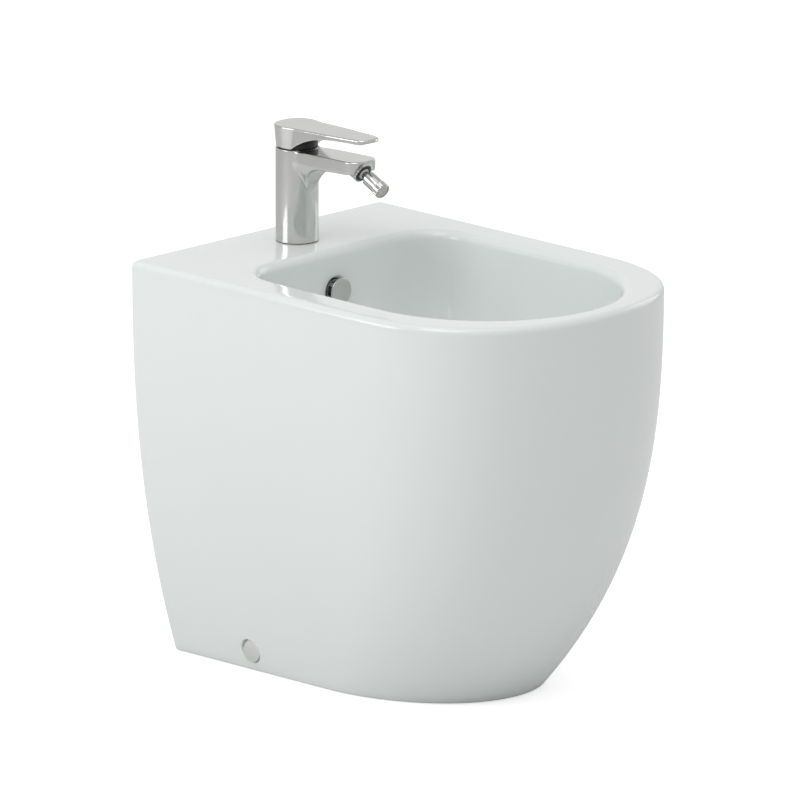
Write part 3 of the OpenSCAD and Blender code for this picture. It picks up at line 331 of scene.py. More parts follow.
def softened(profile, radius, steps=4):
    """A closed outline with each corner rounded, as far as its sides and the axis allow."""
    tiny, nearly_straight, most_of_side = 1e-6, 1.5, 0.45
    pts = [np.array(p[:2], float) for p in profile]
    out, n = [], len(pts)
    for i, p in enumerate(pts):
        r = profile[i][2] if len(profile[i]) > 2 else radius
        a, b = pts[i - 1] - p, pts[(i + 1) % n] - p
        la, lb = np.linalg.norm(a), np.linalg.norm(b)
        if r <= 0 or la < tiny or lb < tiny or p[0] < tiny:
            out.append(p)
            continue
        a, b = a / la, b / lb
        half = math.acos(max(-1, min(1, float(a @ b)))) / 2
        if half > nearly_straight:
            out.append(p)
            continue
        cut = min(r / math.tan(half), la * most_of_side, lb * most_of_side)
        start, end = p + a * cut, p + b * cut
        for j in range(steps + 1):
            t = j / steps
            out.append((1 - t) ** 2 * start + 2 * t * (1 - t) * p + t * t * end)
    return out


def circle(steps):
    """Angles once round."""
    return np.arange(steps) * 2 * math.pi / steps


def turned(name, profile, place=None, steps=96, radius=0.3):
    """A lathe piece: a closed outline of (radius, height, rounding) about +Z, then moved by place."""
    outline = softened(profile, radius)
    n, ang = len(outline), circle(steps)
    pts = np.concatenate([np.stack([r * np.cos(ang), r * np.sin(ang), np.full(steps, z)], 1)
                          for r, z in outline])
    faces = [(i * steps + j, i * steps + (j + 1) % steps, ((i + 1) % n) * steps + (j + 1) % steps,
              ((i + 1) % n) * steps + j) for i in range(n) for j in range(steps)
             if outline[i][0] > 1e-9 or outline[(i + 1) % n][0] > 1e-9]
    if place is not None:
        m = np.array(place)
        pts = pts @ m[:3, :3].T + m[:3, 3]
    return outward(mesh_of(name, pts, faces), 1e-7)


def prism(name, outline, low, high, axis):
    """A closed outline of two coordinates drawn along the third axis."""
    pts, n = [], len(outline)
    for level in (low, high):
        for u, v in outline:
            pts.append({"x": (level, u, v), "z": (u, v, level)}[axis])
    faces = [tuple(range(n)), tuple(range(n, 2 * n))] + [
        (i, (i + 1) % n, n + (i + 1) % n, n + i) for i in range(n)]
    return outward(mesh_of(name, pts, faces))


def strung(name, rings):
    """A closed mesh through rings that have the same number of points, capped at both ends."""
    n, m = len(rings[0]), len(rings)
    faces = [(i * n + j, i * n + (j + 1) % n, (i + 1) * n + (j + 1) % n, (i + 1) * n + j)
             for i in range(m - 1) for j in range(n)]
    faces += [tuple(range(n)), tuple(range((m - 1) * n, m * n))]
    return outward(mesh_of(name, np.concatenate(rings), faces))


def joined(name, meshes):
    """Several meshes as one."""
    bm = bmesh.new()
    for m in meshes:
        bm.from_mesh(m)
    out = bpy.data.meshes.new(name)
    bm.to_mesh(out)
    bm.free()
    return out


def evaluated(thing):
    """The plain mesh that an object's modifiers make."""
    return bpy.data.meshes.new_from_object(thing.evaluated_get(bpy.context.evaluated_depsgraph_get()))


def cut(mesh, cutter, operation="DIFFERENCE"):
    """One boolean step on plain meshes."""
    a, b = bpy.data.objects.new("blank", mesh), bpy.data.objects.new("tool", cutter)
    for o in (a, b):
        scene.collection.objects.link(o)
    step = a.modifiers.new("step", "BOOLEAN")
    step.operation, step.solver, step.object = operation, "MANIFOLD", b
    out = evaluated(a)
    for o in (a, b):
        bpy.data.objects.remove(o)
    return out


def net(name, field, low, high, step):
    """A closed mesh of field = 0: one point per crossed cell, drawn onto the surface, with true normals."""
    low, high = np.array(low, float), np.array(high, float)
    count = np.ceil((high - low) / step).astype(int) + 1
    axes = [low[i] + step * np.arange(count[i]) for i in range(3)]
    value = np.empty(count, np.float32)
    slab = 16
    for i in range(0, count[0], slab):
        value[i:i + slab] = field(*np.meshgrid(axes[0][i:i + slab], axes[1], axes[2], indexing="ij"))
    inside = value < 0
    corners = sum(inside[a:count[0] - 1 + a, b:count[1] - 1 + b, c:count[2] - 1 + c].astype(np.int8)
                  for a in (0, 1) for b in (0, 1) for c in (0, 1))
    active = (corners > 0) & (corners < 8)
    number = np.full(active.shape, -1, np.int64)
    number[active] = np.arange(active.sum())
    p = low + step * (np.argwhere(active) + 0.5)
    h = 0.04 * step

    def slope(q):
        x, y, z = q.T
        return np.stack([field(x + h, y, z) - field(x - h, y, z), field(x, y + h, z) - field(x, y - h, z),
                         field(x, y, z + h) - field(x, y, z - h)], 1) / (2 * h)
    rounds, least_slope, longest_move = 4, 0.05, 0.6 * step
    for _ in range(rounds):
        g = slope(p)
        move = -(field(*p.T) / np.maximum((g * g).sum(1), least_slope))[:, None] * g
        length = np.linalg.norm(move, axis=1, keepdims=True)
        p = p + move * np.minimum(1, longest_move / np.maximum(length, 1e-9))
    faces = []
    for axis in range(3):
        a, b = [slice(None)] * 3, [slice(None)] * 3
        a[axis], b[axis] = slice(0, -1), slice(1, None)
        first = inside[tuple(a)]
        crossed = np.argwhere(first != inside[tuple(b)])
        u, v = (axis + 1) % 3, (axis + 2) % 3
        crossed = crossed[(crossed[:, u] > 0) & (crossed[:, v] > 0) & (crossed[:, u] < count[u] - 1)
                          & (crossed[:, v] < count[v] - 1)]

        def cell_at(du, dv):
            c = crossed.copy()
            c[:, u] -= du
            c[:, v] -= dv
            return number[tuple(c.T)]
        quad = np.stack([cell_at(1, 1), cell_at(0, 1), cell_at(0, 0), cell_at(1, 0)], 1)
        flip = ~first[tuple(crossed.T)]
        quad[flip] = quad[flip][:, ::-1]
        faces.append(quad)
    mesh = mesh_of(name, p, np.concatenate(faces).tolist())
    smooth(mesh)
    n = slope(p)
    return mesh, n / np.maximum(np.linalg.norm(n, axis=1, keepdims=True), 1e-9)


def in_both(a, b, r=0.0):
    """Intersection with its outer edge rounded to r."""
    return np.minimum(-r, np.maximum(a, b)) + np.hypot(np.maximum(a + r, 0), np.maximum(b + r, 0))


def in_either(a, b, r=0.0):
    """Union with a fillet of r."""
    return np.maximum(r, np.minimum(a, b)) - np.hypot(np.maximum(r - a, 0), np.maximum(r - b, 0))


def ramp(value, start, length):
    """0 before start, 1 past start + length."""
    return np.clip((value - start) / length, 0, 1)


def without(solid, *walls):
    """A field less one pocket, given as the fields of the pocket's walls."""
    pocket = walls[0]
    for wall in walls[1:]:
        pocket = np.maximum(pocket, wall)
    return np.maximum(solid, -pocket)


# ---- ceramic body

BODY_W, BODY_L, BODY_H = 358.0, 496.0, 420.0
WALL_Y = BODY_L / 2
WASTE_Y = 3.0
SKIN_T = 13.0
# Points of half a ring: along its back, round its corner, along its side and round its nose
BACK_N, CORNER_N, SIDE_N, FRONT_N = 12, 8, 40, 76
HALF_N = BACK_N + CORNER_N + SIDE_N + FRONT_N
GLAZED, BARE = 0, 1


def half_width(z):
    """Half the body's width at height z: its sides draw in towards the floor."""
    draw, power = 61.0, 2.37
    return BODY_W / 2 - draw * np.clip(1 - z / BODY_H, 0, 1) ** power


def d_outline(w, back, nose, length, power, corner):
    """Half of the D seen from above, from the middle of its back to its nose."""
    i = np.arange(BACK_N)
    pts = [np.stack([(w - corner) * i / BACK_N, np.full(BACK_N, back)], 1)]
    a = np.radians(90 * np.arange(CORNER_N) / CORNER_N)
    pts.append(np.stack([w - corner + corner * np.sin(a), back - corner + corner * np.cos(a)], 1))
    t = np.arange(SIDE_N) / SIDE_N
    pts.append(np.stack([np.full(SIDE_N, w), (back - corner) * (1 - t) + (nose + length) * t], 1))
    a = np.radians(90 * np.arange(FRONT_N + 1) / FRONT_N)
    pts.append(np.stack([w * np.clip(np.cos(a), 0, 1) ** (2 / power),
                         nose + length - length * np.sin(a) ** (2 / power)], 1))
    out = np.concatenate(pts)
    out[-1, 0] = 0
    return out


def skin_ring(z, inset, corner=5.0):
    """Half a ring of the skin at height z; the nose draws back and rounds off towards the floor."""
    nose_draw, nose_power = 120, 3.08
    top_length, foot_length, top_round, foot_round = 179, 158, 2.38, 2.04
    t = min(1, max(0, 1 - z / BODY_H))
    xy = d_outline(half_width(z) - inset, WALL_Y - inset, -WALL_Y + nose_draw * t ** nose_power + inset,
                   top_length + (foot_length - top_length) * t - inset,
                   top_round + (foot_round - top_round) * t, corner)
    return np.column_stack([xy, np.full(len(xy), z)])


BOWL_HALF, BOWL_NOSE, BOWL_BACK, BOWL_LEN, BOWL_CORNER = 138.0, -221.0, 132.0, 145.0, 44.0


def bowl_ring(spread):
    """Half of the bowl's opening, a little narrower at its rear."""
    rear_taper = 2 * 4.0 / 276.0
    p = d_outline(BOWL_HALF + spread, BOWL_BACK + spread, BOWL_NOSE - spread, BOWL_LEN + spread, 2.0,
                  BOWL_CORNER + spread)
    s = np.clip((p[:, 1] - BOWL_NOSE - BOWL_LEN) / (BOWL_BACK - BOWL_NOSE - BOWL_LEN), 0, 1)
    p[:, 0] *= 1 - rear_taper * s * s
    return p


MOUTH = bowl_ring(0.0)
MOUTH_R = np.hypot(MOUTH[:, 0], MOUTH[:, 1] - WASTE_Y)
MOUTH_U = (MOUTH - [0, WASTE_Y]) / MOUTH_R[:, None]
LIP_Z, BOWL_DROP, WELL_R, FLOOR_FALL, BOWL_POWER = 411, 133, 36, 8, 2.6


def meridian(r, a):
    """The bowl's wall below a lip point r from the waste: radius and height at angle a in degrees."""
    a = np.radians(a)
    f, g = np.cos(a) ** (2 / BOWL_POWER), np.sin(a) ** (2 / BOWL_POWER)
    z = LIP_Z - BOWL_DROP * g - FLOOR_FALL * (1 - f)
    return np.stack(np.broadcast_arrays(WELL_R + (r - WELL_R) * f, z))


def outside(r, a, d):
    """The same wall moved d out of the bowl."""
    p, q = meridian(r, a - 1), meridian(r, a + 1)
    t = (q - p) / np.linalg.norm(q - p, axis=0)
    return meridian(r, a) + d * np.array([-t[1], t[0]])


def waste_ring(r, z):
    """Half a ring about the waste, its points on the lip's headings."""
    r = np.broadcast_to(r, MOUTH_R.shape)
    z = np.broadcast_to(z, MOUTH_R.shape)
    return np.column_stack([MOUTH_U[:, 0] * r, WASTE_Y + MOUTH_U[:, 1] * r, z])


def even_angles(count):
    """Angles that space the bowl's rings evenly down its wall."""
    a = np.linspace(0.02, 90, 4000)
    r, z = meridian(150.0, a)
    along = np.concatenate([[0], np.cumsum(np.hypot(np.diff(r), np.diff(z)))])
    return np.interp(np.linspace(0, along[-1], count + 1)[1:], along, a)


INNER_LEVELS = np.linspace(0, 404, 203)
INNER_RINGS = np.array([skin_ring(z, SKIN_T, 9.0) for z in INNER_LEVELS])


def inner_ring(z):
    """The inner skin's half ring at height z."""
    i = min(len(INNER_LEVELS) - 2, int(z / INNER_LEVELS[1]))
    t = (z - INNER_LEVELS[i]) / INNER_LEVELS[1]
    return INNER_RINGS[i] * (1 - t) + INNER_RINGS[i + 1] * t


# Radius and height down the waste's well and bore, and up the outside of its boss
WELL = [(34.6, 270.0), (33.8, 269.75), (33.25, 269.2), (33.0, 268.4), (33.0, 266.4), (23.8, 266.4),
        (23.2, 266.1), (23.0, 265.5), (23.0, 248.0), (23.0, 231.0), (23.6, 230.0)]
BOSS = [(43.0, 230.0), (44.0, 231.0), (44.0, 245.0), (44.0, 258.0)]


def body_rings():
    """The casting's rings in order, each with its face kind."""
    foot = [(0.0, 1.5), (0.2, 0.75), (0.75, 0.2), (1.5, 0.0)]
    edge_r, lip_r, bowl_t = 7, 9, 12.0
    rings = [(skin_ring(z, inset), GLAZED) for z, inset in foot]
    rings += [(skin_ring(z, 0.0), GLAZED) for z in np.linspace(8, 408, 58)]
    for a in np.radians(np.linspace(0, 90, 9)):
        rings.append((skin_ring(BODY_H - edge_r * (1 - math.sin(a)), edge_r * (1 - math.cos(a))), GLAZED))
    rim = rings[-1][0]
    lip = np.column_stack([bowl_ring(lip_r), np.full(HALF_N + 1, BODY_H)])
    rings += [(rim * (1 - t) + lip * t, GLAZED) for t in (0.2, 0.5, 0.8)]
    for a in np.radians(np.linspace(0, 90, 11)):
        level = np.full(HALF_N + 1, BODY_H - lip_r * (1 - math.cos(a)))
        rings.append((np.column_stack([bowl_ring(lip_r * (1 - math.sin(a))), level]), GLAZED))
    rings += [(waste_ring(*meridian(MOUTH_R, a)), GLAZED) for a in even_angles(46)]
    rings += [(waste_ring(r, z), GLAZED) for r, z in WELL]
    rings += [(waste_ring(r, z), BARE) for r, z in BOSS]

    # The roof between bowl and skin lies low at the nose; the bowl's underside climbs to it
    roof_t, nose_drop, low_angle, under_n, skin_n = 16, 80, 84, 22, 18
    drop = np.clip((BOWL_NOSE + BOWL_LEN - MOUTH[:, 1]) / BOWL_LEN, 0, 1)
    roof = BODY_H - roof_t - nose_drop * drop * drop
    start = np.clip((LIP_Z - roof) / (BOWL_DROP + FLOOR_FALL), 0, 1)
    roof_angle = np.maximum(1.3, np.degrees(np.arcsin(start ** (BOWL_POWER / 2))))
    for j in range(under_n + 1):
        r, z = outside(MOUTH_R, low_angle + (roof_angle - low_angle) * j / under_n, bowl_t)
        rings.append((waste_ring(r, roof if j == under_n else z), BARE))
    for j in range(skin_n + 1):
        levels = roof * (1 - j / skin_n)
        rings.append((np.array([inner_ring(z)[k] for k, z in enumerate(levels)]), BARE))
    return rings


def duct_line(first, d):
    """Points down the bowl's rear wall, moved d out of the bowl."""
    angles = np.array([first, 6, 10, 14, 18, 22, 26, 31, 36, 41, 46, 51, 57, 62, 68, 74, 79, 84])
    r, z = outside(np.full(len(angles), BOWL_BACK - WASTE_Y), angles, d)
    return list(zip(WASTE_Y + r, z))


def duct(name, first, near, far, reach, half, foot=None):
    """A band down the rear wall, between two distances from the bowl, that ends near the waste."""
    inner, outer = duct_line(first, near), duct_line(first, far)
    ends = [(WASTE_Y + reach, foot or inner[-1][1]), (WASTE_Y + reach, outer[-1][1])]
    return prism(name, inner + ends + outer[::-1], -half, half, "x")


def service_cutter():
    """The opening in the back, its edge rounded outwards at the wall face."""
    below, arch, top, margin, corner, edge = -12, 312, 344.0, 30, 32, 3.0
    z = np.linspace(below, arch, 40)
    side = np.column_stack([half_width(np.maximum(z, 0)) - margin, z])
    a = np.radians(np.linspace(0, 90, 10))[1:]
    w = half_width(top) - margin
    bend = np.column_stack([w - corner * (1 - np.cos(a)), top - corner * (1 - np.sin(a))])
    side = np.concatenate([side, bend])
    outline = np.concatenate([side, [[0.0, top]], (side * [-1, 1])[::-1]])
    tangent = np.roll(outline, -1, 0) - np.roll(outline, 1, 0)
    tangent[0], tangent[-1] = outline[1] - outline[0], outline[-1] - outline[-2]
    normal = np.stack([tangent[:, 1], -tangent[:, 0]], 1)
    normal /= np.linalg.norm(normal, axis=1, keepdims=True)
    steps = [(0, WALL_Y - 24), (0, WALL_Y - edge)]
    steps += [(edge * (1 - math.cos(t)), WALL_Y - edge + edge * math.sin(t))
              for t in np.radians([15, 30, 45, 60, 75])]
    steps += [(edge * 1.15, WALL_Y + 0.15), (edge * 1.6, WALL_Y + 2.5)]
    rings = []
    for spread, y in steps:
        p = outline + normal * spread
        p[[0, -1], 1] = below
        rings.append(np.column_stack([p[:, 0], np.full(len(p), y), p[:, 1]]))
    return strung("service_cutter", rings)


FIX_Y, FIX_Z = 130.0, 22.0


def fixing_cutter(sign):
    """A hole in the side whose edge is rounded where it meets the sloping skin."""
    r, edge, inwards = 12.5, 1.2, 30.0
    ang = circle(72)
    steps = [(r, edge)] + [(r + edge * (1 - math.cos(t)), edge * (1 - math.sin(t)))
                           for t in np.radians([20, 40, 60, 78])]
    steps += [(r + edge * 1.15, -0.12), (r + edge * 1.6, -2.5)]
    y, z = FIX_Y + r * np.cos(ang), FIX_Z + r * np.sin(ang)
    rings = [np.column_stack([np.full(len(ang), sign * (half_width(FIX_Z) - inwards)), y, z])]
    for radius, depth in steps:
        y, z = FIX_Y + radius * np.cos(ang), FIX_Z + radius * np.sin(ang)
        rings.append(np.column_stack([sign * (half_width(z) - depth), y, z]))
    return strung("fixing_cutter", rings)


OVERFLOW_R, OVERFLOW_MOUTH, OVERFLOW_Z = 12, 7, 377
OVERFLOW_ANGLE = math.degrees(math.asin(((LIP_Z - OVERFLOW_Z) / BOWL_DROP) ** (BOWL_POWER / 2)))
OVERFLOW_Y = WASTE_Y + meridian(BOWL_BACK - WASTE_Y, OVERFLOW_ANGLE)[0]
OVERFLOW = Matrix.Translation((0, OVERFLOW_Y, OVERFLOW_Z)) @ Matrix.Rotation(math.pi / 2, 4, "X")
TAP_Y = 188


def overflow_cutter():
    """The overflow hole with its rounded mouth, on the overflow's axis."""
    bore = [(0, -17.6), (OVERFLOW_R, -17.6)]
    bore += [(OVERFLOW_R + OVERFLOW_MOUTH * (1 - math.cos(a)), -OVERFLOW_MOUTH * (1 - math.sin(a)))
             for a in np.radians(np.linspace(0, 84, 12))]
    return turned("overflow_bore", bore + [(25, 4), (0, 4)], OVERFLOW, 96, 0)


def tap_hole_cutter():
    """The hole in the deck, its edge just broken."""
    hole = [(0, 400), (17.5, 400), (17.5, 419), (17.8, 419.7), (18.6, 420.08), (20, 424), (0, 424)]
    return turned("tap_hole", hole, Matrix.Translation((0, TAP_Y, 0)), 96, 0)


def ceramic_body():
    """The casting with all its openings, and the uncut loft of its skin, bowl and inside."""
    rings = body_rings()
    n, m = 2 * HALF_N, len(rings)
    pts = [np.concatenate([half, (half * [-1, 1, 1])[HALF_N - 1:0:-1]]) for half, _ in rings]
    faces, kinds = [], []
    for j in range(m):
        a, b = j * n, ((j + 1) % m) * n
        for k in range(n):
            q = (k + 1) % n
            faces.append((a + k, a + q, b + q, b + k))
            kinds.append(rings[j + 1][1] if j + 1 < m else BARE)
    body = outward(mesh_of("ceramic_loft", np.concatenate(pts), faces, kinds), 1e-7)
    for paint in (GLAZE, BISCUIT):
        body.materials.append(paint)
    loft = body.copy()
    band = duct("duct_band", 3.2, 6.0, 28.0, 24, 21.0, 264.0)
    band.materials.append(BISCUIT)
    body = cut(body, band, "UNION")
    body = cut(body, duct("duct_void", 4.4, 12.0, 21.0, 16, 14.0))
    body = cut(body, overflow_cutter())
    body = cut(body, joined("cutters", [tap_hole_cutter(), service_cutter(), fixing_cutter(-1),
                                        fixing_cutter(1)]))
    body.name = "ceramic_casting"
    return body, loft


def true_normals(mesh, loft):
    """Gives the cut casting the uncut loft's own smooth normals where it still follows it."""
    reach, sharp, most_turn = 0.00003, 40, 28
    bm = bmesh.new()
    bm.from_mesh(loft)
    tree = BVHTree.FromBMesh(bm)
    bm.free()
    smooth(loft)
    loft_normal = np.empty(len(loft.vertices) * 3)
    loft.vertex_normals.foreach_get("vector", loft_normal)
    loft_normal = loft_normal.reshape(-1, 3)
    smooth(mesh, sharp)
    corner = np.empty(len(mesh.loops) * 3)
    mesh.corner_normals.foreach_get("vector", corner)
    corner = corner.reshape(-1, 3)
    target = np.zeros((len(mesh.vertices), 3))
    follows = np.zeros(len(mesh.vertices), bool)
    for i, v in enumerate(mesh.vertices):
        p, _, face, d = tree.find_nearest(v.co)
        if face is None or d > reach:
            continue
        ids = loft.polygons[face].vertices
        w = np.array([1 / ((loft.vertices[j].co - p).length + 1e-7) ** 2 for j in ids])
        normal = (loft_normal[list(ids)] * w[:, None]).sum(0)
        target[i] = normal / np.linalg.norm(normal)
        follows[i] = True
    at = np.empty(len(mesh.loops), np.int32)
    mesh.loops.foreach_get("vertex_index", at)
    good = follows[at] & ((corner * target[at]).sum(1) > math.cos(math.radians(most_turn)))
    corner[good] = target[at][good]
    mesh.normals_split_custom_set(corner.tolist())


# ---- tap

# The fields are in mm from the foot of the column; the spout and the lever's blade run along -y
DECK_Z = BODY_H
TAP = Matrix.Translation((0, TAP_Y, DECK_Z))
TAP_R, COLUMN_TOP = 22.0, 98
DIP = math.radians(27)
BALL_Y, BALL_Z = -92, 87.8
NOZZLE = (Matrix.Translation((0, TAP_Y + BALL_Y, DECK_Z + BALL_Z))
          @ Matrix.Rotation(math.pi / 2 + DIP, 4, "X"))
SPOUT_HALF, SPOUT_END, SPOUT_RISE = 18.5, -86.5, 2.2
SWEEP_Y, SWEEP_Z, SWEEP_R, SPOUT_UNDER = -52, 54, 30, 84


def along_nozzle(x, y, z):
    """Distance from the nozzle's axis, and along it from the ball."""
    dy, dz = y - BALL_Y, z - BALL_Z
    along = -dy * math.cos(DIP) - dz * math.sin(DIP)
    up = -dy * math.sin(DIP) + dz * math.cos(DIP)
    return np.hypot(x, up), along


def drum(x, y, z, r, low, high, edge=0.0):
    """Round bar along Z."""
    return in_both(np.hypot(x, y) - r, np.maximum(low - z, z - high), edge)


def spout_top(y, z):
    """The spout's top climbs a little towards its end."""
    return z - (COLUMN_TOP + SPOUT_RISE * ramp(-y, TAP_R, 83))


def spout_field(x, y, z):
    """The spout: flat top, straight flanks, round end, and an underside that sweeps into the column."""
    flat = SPOUT_UNDER + 2.5 * ramp(-y, -SWEEP_Y, 47) - z
    sweep = SWEEP_R - np.hypot(y - SWEEP_Y, z - SWEEP_Z)
    under = np.where(y < SWEEP_Y, flat, np.where(z > SWEEP_Z, sweep, SWEEP_Z - z))
    plan = np.where(y > SPOUT_END, np.abs(x) - SPOUT_HALF, np.hypot(x, y - SPOUT_END) - SPOUT_HALF)
    half = np.interp(z, [52, 60, 70, 80, 86], [3.5, 7.5, 11.5, 16.5, 19.5])
    web = in_both(np.abs(x) - half, under, 2.6)
    soft = np.interp(-y, [14, 30, 50], [7.0, 4.0, 1.5])
    body = in_both(in_both(plan, spout_top(y, z), 1.5), np.maximum(web, y), soft)
    return in_both(body, along_nozzle(x, y, z)[1] - 4, 0.8)


def tap_field(x, y, z):
    """The tap's body: column and spout, the nozzle's socket, the cartridge's bore and the holes below."""
    column = drum(x, y, z, TAP_R, 0.8, COLUMN_TOP, 0.6)
    out = in_either(column, spout_field(x, y, z), np.interp(z, [54, 66, 78], [0.15, 1.6, 3.5]))
    r, along = along_nozzle(x, y, z)
    boss = in_both(r - 10.9, np.maximum(-10 - along, along - 4), 0.8)
    out = in_either(out, in_both(boss, spout_top(y, z) + 2.0, 1.5), 2.0)
    back = -8.3
    mouth = np.maximum(r - np.interp(along, [back, -7.6, -2.6], [4.0, 5.6, 9.4]), back - along)
    out = in_both(out, -mouth, 0.5)
    bore_r, bore_z, seat_r, seat_z = 17.6, 50.6, 19.55, 88
    out = without(out, np.hypot(x, y) - bore_r, bore_z - z)
    out = without(out, np.hypot(x, y) - seat_r, seat_z - z)
    for side in (-1, 1):
        out = without(out, np.hypot(x - side * 6.4, y + 4.2) - 4.6, z - 14.8)
    return without(out, np.hypot(x, y - 9.5) - 4.05, z - 17)


def lever_field(x, y, z):
    """The lever: a hub open at its front, and a blade that thins out to a round tip."""
    foot, tip_low, tip_y, front, tip_r, tip_end = 99.6, 118.6, -103, -11, 14.5, -96.5
    crown = np.interp(y, [-111, -110.4, -109, -106, -10, 13.4, 20.4, 24.4],
                      [121.9, 122.6, 123.25, 123.6, 122.4, 122.4, 122.15, 121.5])
    reach, climb, power = front - tip_y, 19, 3.6
    t = ramp(y, tip_y, reach)
    under = np.where(y < tip_y, tip_low + (tip_y - y) * 0.26,
                     np.where(y > front, foot, tip_low - climb * t ** power))
    slope = np.where((t > 0) & (t < 1), climb * power / reach * t ** (power - 1), 0)
    below = (under - z) / np.sqrt(1 + slope * slope)
    hub = np.hypot(x, y) - (21.5 + 1.9 * ramp(z, foot, 22.8))
    half = np.interp(y, [tip_end, -60, -30, 0], [tip_r, 18.4, 20.0, 20.8])
    plan = np.where(y > tip_end, (np.abs(x) - half) * 0.997, np.hypot(x, y - tip_end) - tip_r)
    out = in_either(hub, np.maximum(plan, y), 2.5)
    out = in_both(in_both(out, z - crown, 1.6), below, 0.7)
    cavity = np.maximum(np.hypot(x, y) - (19.6 + 1.2 * np.clip((102.1 - z) / 2.5, 0, 1)), z - 112.9)
    square = np.maximum(np.abs(x), np.abs(y))
    stem = np.maximum(square - 7.2, 108.3 - z)
    out = in_both(out, -np.maximum(cavity, -stem), 0.3)
    out = without(out, square - 4.7, z - 114.2)
    screw_z, screw_r, screw_y = 110.2, 3.5, 20.2
    return without(out, np.hypot(x, z - screw_z) - screw_r, screw_y - y)


def casting(name, field, low, high, step, body, node):
    """A chrome casting of the tap from its field."""
    mesh, normals = net(name, field, low, high, step)
    co = np.empty(len(mesh.vertices) * 3)
    mesh.vertices.foreach_get("co", co)
    co = co.reshape(-1, 3) + np.array(TAP.translation) * MM
    mesh.vertices.foreach_set("co", co.ravel())
    mesh.normals_split_custom_set_from_vertices(normals.tolist())
    piece(name, mesh, body, node, CHROME)


# ---- rules that repeat or follow a path

def rule(name, *inputs):
    """A new geometry node group with the sockets every rule here has, and its own."""
    g = bpy.data.node_groups.new(name, "GeometryNodeTree")
    g.interface.new_socket(name="Geometry", in_out="INPUT", socket_type="NodeSocketGeometry")
    for label, kind, value in inputs:
        g.interface.new_socket(name=label, in_out="INPUT", socket_type=kind).default_value = value
    g.interface.new_socket(name="Material", in_out="INPUT", socket_type="NodeSocketMaterial")
    g.interface.new_socket(name="Geometry", in_out="OUTPUT", socket_type="NodeSocketGeometry")
    node = node_maker(g)
    given, result = node("NodeGroupInput").outputs, node("NodeGroupOutput").inputs

    def close(last):
        paint = node("GeometryNodeSetMaterial", Geometry=last, Material=given["Material"])
        g.links.new(paint.outputs[0], result[0])
        return g
    return g, given, node, close


def ring_of_ribs():
    """Grip ribs in a ring: a bar for each, lying half in the wall, all upright."""
    g, given, node, close = rule("ring_of_ribs", ("Count", WHOLE, 12), ("Radius", FLOAT, 0.02),
                                 ("Depth", FLOAT, 0.001), ("Width", FLOAT, 0.003), ("Length", FLOAT, 0.01),
                                 ("Height", FLOAT, 0.0))
    ring = node("GeometryNodeMeshCircle", Vertices=given["Count"], Radius=given["Radius"])
    bar = node("GeometryNodeMeshCylinder", Vertices=14, Side_Segments=1, Radius=0.5, Depth=1.0)
    size = node("ShaderNodeCombineXYZ", X=given["Depth"], Y=given["Width"], Z=given["Length"])
    shaped = node("GeometryNodeTransform", Geometry=bar.outputs["Mesh"], Scale=size.outputs[0])
    place = node("GeometryNodeInputPosition").outputs[0]
    turn = node("FunctionNodeAlignRotationToVector", {"axis": "X", "pivot_axis": "Z"}, Vector=place)
    bars = node("GeometryNodeInstanceOnPoints", Points=ring.outputs[0], Instance=shaped.outputs[0],
                Rotation=turn.outputs[0])
    lift = node("ShaderNodeCombineXYZ", Z=given["Height"])
    real = node("GeometryNodeRealizeInstances", Geometry=bars.outputs[0])
    raised = node("GeometryNodeTransform", Geometry=real.outputs[0], Translation=lift.outputs[0])
    both = node("GeometryNodeJoinGeometry")
    g.links.new(raised.outputs[0], both.inputs[0])
    g.links.new(given["Geometry"], both.inputs[0])
    return close(both.outputs[0])


def fluted_ring():
    """Grooves cut round the outside of a turned ring, between two heights."""
    _, given, node, close = rule("fluted_ring", ("Count", WHOLE, 18), ("Depth", FLOAT, 0.0005),
                                 ("Outer", FLOAT, 0.008), ("Low", FLOAT, 0.0), ("High", FLOAT, 0.01))
    place = node("GeometryNodeInputPosition")
    x, y, z = node("ShaderNodeSeparateXYZ", Vector=place.outputs[0]).outputs
    wave = maths(node, "COSINE", maths(node, "MULTIPLY", maths(node, "ARCTAN2", y, x), given["Count"]))
    groove = node("ShaderNodeMapRange", {"interpolation_type": "SMOOTHSTEP"}, _0=wave, _1=0.1, _2=1.0)
    flat = node("ShaderNodeCombineXYZ", X=x, Y=y)
    radius = node("ShaderNodeVectorMath", {"operation": "LENGTH"}, _0=flat.outputs[0])
    outer = maths(node, "GREATER_THAN", radius.outputs["Value"], given["Outer"])
    above, below = maths(node, "GREATER_THAN", z, given["Low"]), maths(node, "LESS_THAN", z, given["High"])
    depth = outer
    for share in (above, below, groove.outputs[0], given["Depth"], -1.0):
        depth = maths(node, "MULTIPLY", depth, share)
    out = node("ShaderNodeVectorMath", {"operation": "NORMALIZE"}, _0=flat.outputs[0])
    move = node("ShaderNodeVectorMath", {"operation": "SCALE"}, _0=out.outputs[0], Scale=depth)
    moved = node("GeometryNodeSetPosition", Geometry=given["Geometry"], Offset=move.outputs[0])
    return close(moved.outputs[0])


